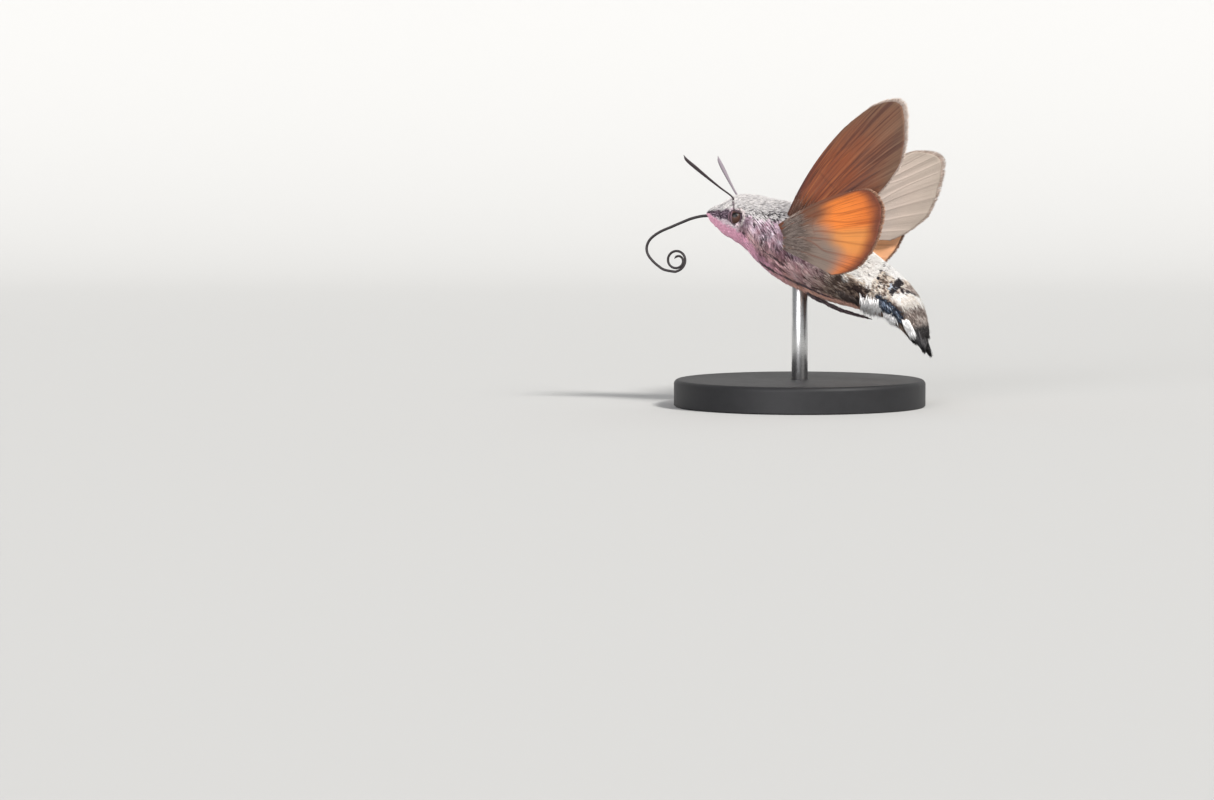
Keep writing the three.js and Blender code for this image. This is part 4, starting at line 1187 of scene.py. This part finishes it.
def wing_blades(name, side, plan, paint, t, f, end_t, end_f, lift, end_lift, width):
    """Blades on a wing, each from (t, f) to (end_t, end_f), its root and tip lifted from the membrane."""
    flat, height, count = plan_point(plan, t, f), wing_height(t, f) + lift, len(t)
    root = pose_wing(side, plan, flat, height)
    end = pose_wing(side, plan, plan_point(plan, end_t, end_f), wing_height(end_t, end_f) + end_lift)
    normal = pose_wing(side, plan, flat, height + np.where(lift < 0, -1.0, 1.0)) - root
    points = free_blades(root, end - root, normal, np.linalg.norm(end - root, axis=1), width,
                         rng.normal(0.03, 0.03, count))
    numbers = np.stack([np.repeat(value[:, None], BLADE_POINTS, 1) for value in (f, t, lift > 0)], -1)
    return make(name, points, [blade_faces(count)], paint, (),
                {"plan": numbers, "lock": lock_attribute(chances(count), chances(count))},
                bake_map(t, np.clip(f, 0, 1)))


def blade_finish(name, stops, root, outer):
    """A finish for a wing's blades: the colours by chance, darker at the root, and nearing the wing's own
    colour where they are rooted further out."""
    paint = Paint(name, Roughness=0.6, Specular_IOR_Level=0.2)
    along, chance, _ = paint.attribute("lock")
    share, across, _ = paint.attribute("plan")
    colour = paint.mix(along.smooth(0, 1), root, paint.ramp(chance, stops))
    further = (share - across * 0.2).smooth(0.02, 0.2) * share.smooth(0.9, 0.8) * 0.75
    paint.use("Base Color", paint.mix(further, colour, outer))
    return paint


fringe_fore, fringe_hind, hair_hind, hair_fore = (
    blade_finish(name, *colours) for name, colours in BLADE_FINISHES.items())
# name, slot, plan, the finishes of fringe and hair, the number of hairs, and how far out they are rooted
DRESSING = [("upper", "forewing", FOREWING, fringe_fore, hair_fore, 1100, 0.18),
            ("lower", "hindwing", HINDWING, fringe_hind, hair_hind, 2500, 0.26)]
for side in ("left", "right"):
    for name, slot, plan, fringe_paint, hair_paint, number, reach in DRESSING:
        t = np.sort(rng.uniform(0.02, 1, FRINGE_COUNT))
        f = membrane_edge(t) - 0.01
        lift = rng.choice([-1, 1], FRINGE_COUNT) * 0.01
        wing_blades("%s_fringe_%s" % (name, side), side, plan, fringe_paint, t, f,
                    np.clip(t + rng.normal(0, 0.003, FRINGE_COUNT), 0, 1),
                    f + rng.uniform(0.02, 0.038, FRINGE_COUNT), lift, rng.normal(0, 0.03, FRINGE_COUNT),
                    rng.uniform(0.05, 0.09, FRINGE_COUNT))
        t = rng.uniform(0.02, 1, number)
        f = rng.beta(1.0, 2.4, number) * reach * (0.7 + 0.9 * t) - 0.03
        face = np.where(chances(number) < HAIR_BELOW, -1.0, 1.0)
        far = f + rng.uniform(0.1, 0.28, number)
        wing_blades("%s_hair_%s" % (name, side), side, plan, hair_paint, t, f,
                    np.clip(t + rng.normal(0, 0.03, number), 0, 1), far, face * 0.02,
                    face * (MEMBRANE + rng.uniform(0.03, 0.13, number)), rng.uniform(0.035, 0.07, number))


# %% [markdown]
# ## Side tufts
#
# Along each side of the abdomen stand fans of long scales, white and black by turns. Each fan starts in one
# spot, low on the side, and spreads backwards and outwards.

# %% Build the side tufts
# station and angle of each fan's two root ends and two tips, how far its tips stand out, and its shade
TUFTS = [
    ((11.2, 108), (12.15, 104), (11.8, 164), (12.9, 138), 0.6, 460, "white"),
    ((11.9, 110), (12.75, 107), (13.0, 128), (13.9, 122), 0.3, 340, "blue"),
    ((12.85, 131), (13.35, 120), (14.0, 148), (14.4, 134), 0.7, 280, "white"),
    ((13.1, 108), (13.9, 117), (13.9, 112), (14.7, 120), 0.3, 240, "blue"),
    ((13.95, 118), (14.3, 94), (15.75, 112), (16.0, 92), 0.5, 420, "white"),
    ((10.0, 118), (10.8, 128), (10.7, 138), (11.5, 146), 0.35, 200, "dark"),
    ((13.35, 30), (13.3, 76), (14.15, 34), (13.95, 86), 0.25, 340, "fluff"),
]
TUFT_SHADE = {"white": 1.0, "fluff": 0.8, "blue": 0.3, "dark": 0.0}
tuft_paint = Paint("tuft_finish", Roughness=0.42)
tuft_along, tuft_chance, tuft_shade = tuft_paint.attribute("lock")
dark = tuft_paint.mix(tuft_chance, (0.02, 0.014, 0.014), (0.1, 0.07, 0.06))
# blue-black scales; the light blue at the top of the ramp is painted highlight on glossy scales
blue = tuft_paint.ramp(tuft_chance, [(0.0, (0.01, 0.011, 0.016)), (0.6, (0.03, 0.04, 0.065)),
                                     (0.85, (0.12, 0.17, 0.26)), (1.0, (0.45, 0.52, 0.62))])
fluff = tuft_paint.mix(tuft_chance, (0.66, 0.58, 0.5), (0.95, 0.92, 0.88))
white = tuft_paint.mix(tuft_chance, (0.99, 0.99, 0.99), (0.94, 0.93, 0.93))
shade = tuft_paint.mix(tuft_shade.smooth(0.1, 0.15), dark, blue)
shade = tuft_paint.mix(tuft_shade.smooth(0.6, 0.65), shade, fluff)
shade = tuft_paint.mix(tuft_shade.smooth(0.9, 0.95), shade, white)
# painted shade: each blade is darker near its root
tuft_paint.use("Base Color", tuft_paint.mix(tuft_along.smooth(0.2, 0.0) * 0.3, shade, (0.1, 0.085, 0.08)))

for side, sign in (("left", -1), ("right", 1)):
    pieces = []
    for *spots, stand, count, kind in TUFTS:
        share = chances(count)[:, None]
        reach = rng.uniform(0.55, 1.12, count)[:, None]
        layer = chances(count)
        first, last = (a + share * (b - a) for a, b in np.array(spots).reshape(2, 2, 2))
        first = first + rng.normal(0, 1, (count, 2)) * (0.08, 2.2)
        last = first + (last - first) * reach + rng.normal(0, 1, (count, 2)) * (0.14, 4.0)
        (k, a), (tip_k, tip_a) = ((spot[:, 0], -sign * np.radians(spot[:, 1])) for spot in (first, last))
        root, tip = body(k, a, -0.3), body(tip_k, tip_a, 0.06 + stand * layer)
        out = body(k, a, 1.0) - root
        long = np.linalg.norm(tip - root, axis=1)
        points = free_blades(root, tip - root, out, long, rng.uniform(0.1, 0.17, count),
                             rng.uniform(0.02, 0.12, count) * long)
        lock = lock_attribute(chances(count), np.full(count, TUFT_SHADE[kind]))
        pieces.append((points, lock, body_map(k, a)))
    points, locks, maps = (np.concatenate(group) for group in zip(*pieces))
    make("side_tufts_" + side, points, [blade_faces(len(points))], tuft_paint, (),
         {"lock": locks}, maps)


# %% [markdown]
# ## The tail brush
#
# The abdomen ends in a flat fan of long black scales, which the moth spreads to steer. Several layers of
# blades spread to the sides, the outer ones shorter and aimed further out.

# %% Build the tail brush
BRUSH_COUNT = 3600
across_brush = rng.uniform(-1, 1, BRUSH_COUNT)
k = rng.uniform(14.9, 16.6, BRUSH_COUNT)
level = rng.uniform(-1, 1, BRUSH_COUNT)
here = spline(SPINE, k)
ahead = unit(spline(SPINE, np.clip(k + 0.4, 0, LAST))[:, :2] - here[:, :2])
up_way = np.stack([-ahead[:, 1], np.zeros(BRUSH_COUNT), ahead[:, 0]], -1)
bulge = np.sqrt(np.clip(1 - across_brush**2, 0, 1))
root = np.stack([here[:, 0], -across_brush * here[:, 2] * 0.85, here[:, 1]], -1)
root = root + up_way * (level * here[:, 3] * 0.8 * bulge)[:, None]
# each half narrows to a point of its own, the left one ending a little earlier
lobe, apart = np.sign(across_brush), 2 * np.abs(across_brush) - 1
short = 0.6 * np.abs(apart - 0.6) ** 1.3 + 0.15 * (lobe > 0)
end_x, end_z = spline(SPINE, LAST)[:2]
target = np.stack([end_x - ahead[:, 0] * short, -lobe * (1.1 + 0.75 * apart), end_z - ahead[:, 1] * short], -1)
target = target + up_way * (level * 0.07)[:, None] + rng.normal(0, 0.07, (BRUSH_COUNT, 3))
direction = target - root
# nearly half of the blades reach the brush's end, the others stop short of it
long = np.linalg.norm(direction, axis=1) * np.clip(rng.uniform(0.6, 1.12, BRUSH_COUNT), 0, 1.0)
points = free_blades(root, direction, up_way * np.sign(level)[:, None], long,
                     rng.uniform(0.1, 0.19, BRUSH_COUNT), -0.04 * long)
brush_paint = Paint("brush_finish", Roughness=0.45, Specular_IOR_Level=0.4)
brush_along, brush_chance, brush_other = brush_paint.attribute("lock")
brush_colour = brush_paint.ramp(brush_chance, [(0.0, (0.008, 0.008, 0.01)), (0.6, (0.024, 0.022, 0.024)),
                                               (1.0, (0.07, 0.065, 0.067))])
white_tip = brush_along.smooth(0.9, 1.0) * brush_other.smooth(0.9, 0.95)
brush_paint.use("Base Color", brush_paint.mix(white_tip, brush_colour, (0.6, 0.58, 0.55)))
make("brush", points, [blade_faces(BRUSH_COUNT)], brush_paint, ("tail_brush",),
     {"lock": lock_attribute(chances(BRUSH_COUNT), chances(BRUSH_COUNT))}, body_map(k, across_brush * 1.4))


# %% [markdown]
# ## The stand
#
# A museum mount: a flat round base in satin black and a plain steel rod up to the moth's body. Both are
# profiles turned round the upright axis, the base with a small rounded edge and a well for the rod.

# %% Build the stand
BASE_RADIUS, BASE_THICK, BEVEL, WELL = 14.0, 3.0, 0.5, 1.6
ROD_RADIUS, ROD_FOOT, ROD_TOP = 0.9, 1.45, 13.7  # from the base's well to just inside the skin of the belly


def turned(profile, around=192):
    """The rings of a profile, given as radii and heights, turned round the upright axis."""
    turn = np.linspace(0, 2 * math.pi, around, endpoint=False)
    radius, height = profile[:, :1], profile[:, 1:]
    return np.stack([radius * np.cos(turn), radius * np.sin(turn), np.repeat(height, around, 1)], -1)


corner = np.linspace(0, math.pi / 2, 8)
profile = np.concatenate([
    [(0.9, 0.0), (BASE_RADIUS - 0.15, 0.0), (BASE_RADIUS, 0.15)],
    np.stack([BASE_RADIUS - BEVEL + BEVEL * np.cos(corner), BASE_THICK - BEVEL + BEVEL * np.sin(corner)], -1),
    [(BASE_RADIUS - 2.0, BASE_THICK), (5.0, BASE_THICK), (ROD_RADIUS + 0.02, BASE_THICK),
     (ROD_RADIUS + 0.02, BASE_THICK - WELL), (0.5, BASE_THICK - WELL)]])
base_paint = Paint("base_finish", Specular_IOR_Level=0.3)
base_noise = base_paint.noise(base_paint.place(), 0.8, 4.0)
base_paint.use("Base Color", base_paint.mix(base_noise, (0.012, 0.012, 0.013), (0.02, 0.02, 0.022)))
base_paint.use("Roughness", base_noise * 0.12 + 0.48)
base_paint.bump(base_paint.noise(base_paint.place(), 9.0, 3.0), 0.01)
points, faces = capped_tube(turned(profile))
make("base", points, faces, base_paint, ("stand_base",), lean=False, smooth=False)

rod_paint = Paint("rod_finish", Metallic=1.0, Roughness=0.3)
brushed = rod_paint.noise(rod_paint.place((3, 3, 14)), 1.2, 4.0)
rod_paint.use("Base Color", rod_paint.mix(brushed, (0.5, 0.5, 0.5), (0.68, 0.68, 0.68)))
rod_paint.use("Roughness", brushed * 0.2 + 0.2)
narrow = ROD_RADIUS * 0.9
profile = np.array([(narrow, ROD_FOOT), (ROD_RADIUS, ROD_FOOT + 0.1),
                    (ROD_RADIUS, ROD_TOP - 0.1), (narrow, ROD_TOP)])
points, faces = capped_tube(turned(profile))
make("rod", points, faces, rod_paint, ("stand_rod",), lean=False)


# %% [markdown]
# ## Floor, backdrop and light
#
# The floor is a pale sheet that bends up behind the moth, as in a studio, so no horizon shows. The main lamp
# stands high on the tail's side, a softer one fills from the left, and a weak one lights the rim from behind.

# %% Stage and lights
sweep_angle = np.linspace(0, math.pi / 2, 24)
FLOOR_REACH, FLOOR_BACK, SWEEP, WALL = 900.0, 260.0, 220.0, 700.0
floor_profile = np.concatenate([
    [(-FLOOR_REACH, 0.0)],
    np.stack([FLOOR_BACK + SWEEP * np.sin(sweep_angle), SWEEP - SWEEP * np.cos(sweep_angle)], -1),
    [(FLOOR_BACK + SWEEP, WALL)]])
side_way = np.linspace(-FLOOR_REACH, FLOOR_REACH, 3)
along_view = np.array([-back.x, -back.y]) / math.hypot(back.x, back.y)
side_view = np.array([right.x, right.y])
flat = floor_profile[:, None, :1] * along_view + side_way[None, :, None] * side_view
floor_points = np.concatenate([flat, np.repeat(floor_profile[:, None, 1:], 3, 1)], -1) * MM
floor_mesh = bpy.data.meshes.new("floor")
floor_mesh.from_pydata(floor_points.reshape(-1, 3), [], grid_faces(len(floor_profile), 3)[:, ::-1].tolist())
floor_mesh.polygons.foreach_set("use_smooth", [True] * len(floor_mesh.polygons))
floor = bpy.data.objects.new("floor", floor_mesh)
bpy.context.scene.collection.objects.link(floor)
floor_paint = Paint("floor_finish", Roughness=0.9)
floor_height = floor_paint.node("ShaderNodeSeparateXYZ", None, [floor_paint.place()], 2)
floor_colour = floor_paint.mix(floor_height.smooth(0, 240), (0.5, 0.5, 0.495), (0.36, 0.36, 0.356))
floor_paint.use("Base Color", floor_colour)
floor_mesh.materials.append(floor_paint.material)


def lamp(name, azimuth, elevation, strength, blur, colour):
    """A distant soft lamp from an azimuth measured like the camera's; blur is its width in degrees."""
    a, e = math.radians(azimuth), math.radians(elevation)
    way = Vector((math.sin(a) * math.cos(e), -math.cos(a) * math.cos(e), math.sin(e)))
    light = bpy.data.lights.new(name, "SUN")
    light.energy, light.angle, light.color = strength, math.radians(blur), colour
    holder = bpy.data.objects.new(name, light)
    holder.location = way
    holder.rotation_euler = way.to_track_quat("Z", "Y").to_euler()
    bpy.context.scene.collection.objects.link(holder)


lamp("key_lamp", 62, 42, 3.8, 12, (1.0, 0.98, 0.94))
lamp("front_lamp", -6, 14, 2.3, 35, (0.99, 0.98, 1.0))
lamp("rim_lamp", 150, 40, 0.5, 30, (1.0, 0.98, 0.95))
world = bpy.data.worlds.new("studio")
bpy.context.scene.world = world
world.use_nodes = True
world.node_tree.nodes["Background"].inputs[0].default_value = (0.9, 0.92, 0.95, 1)
world.node_tree.nodes["Background"].inputs[1].default_value = 0.36
bpy.context.scene.view_settings.view_transform = "Standard"
print("the floor and three lamps are set")
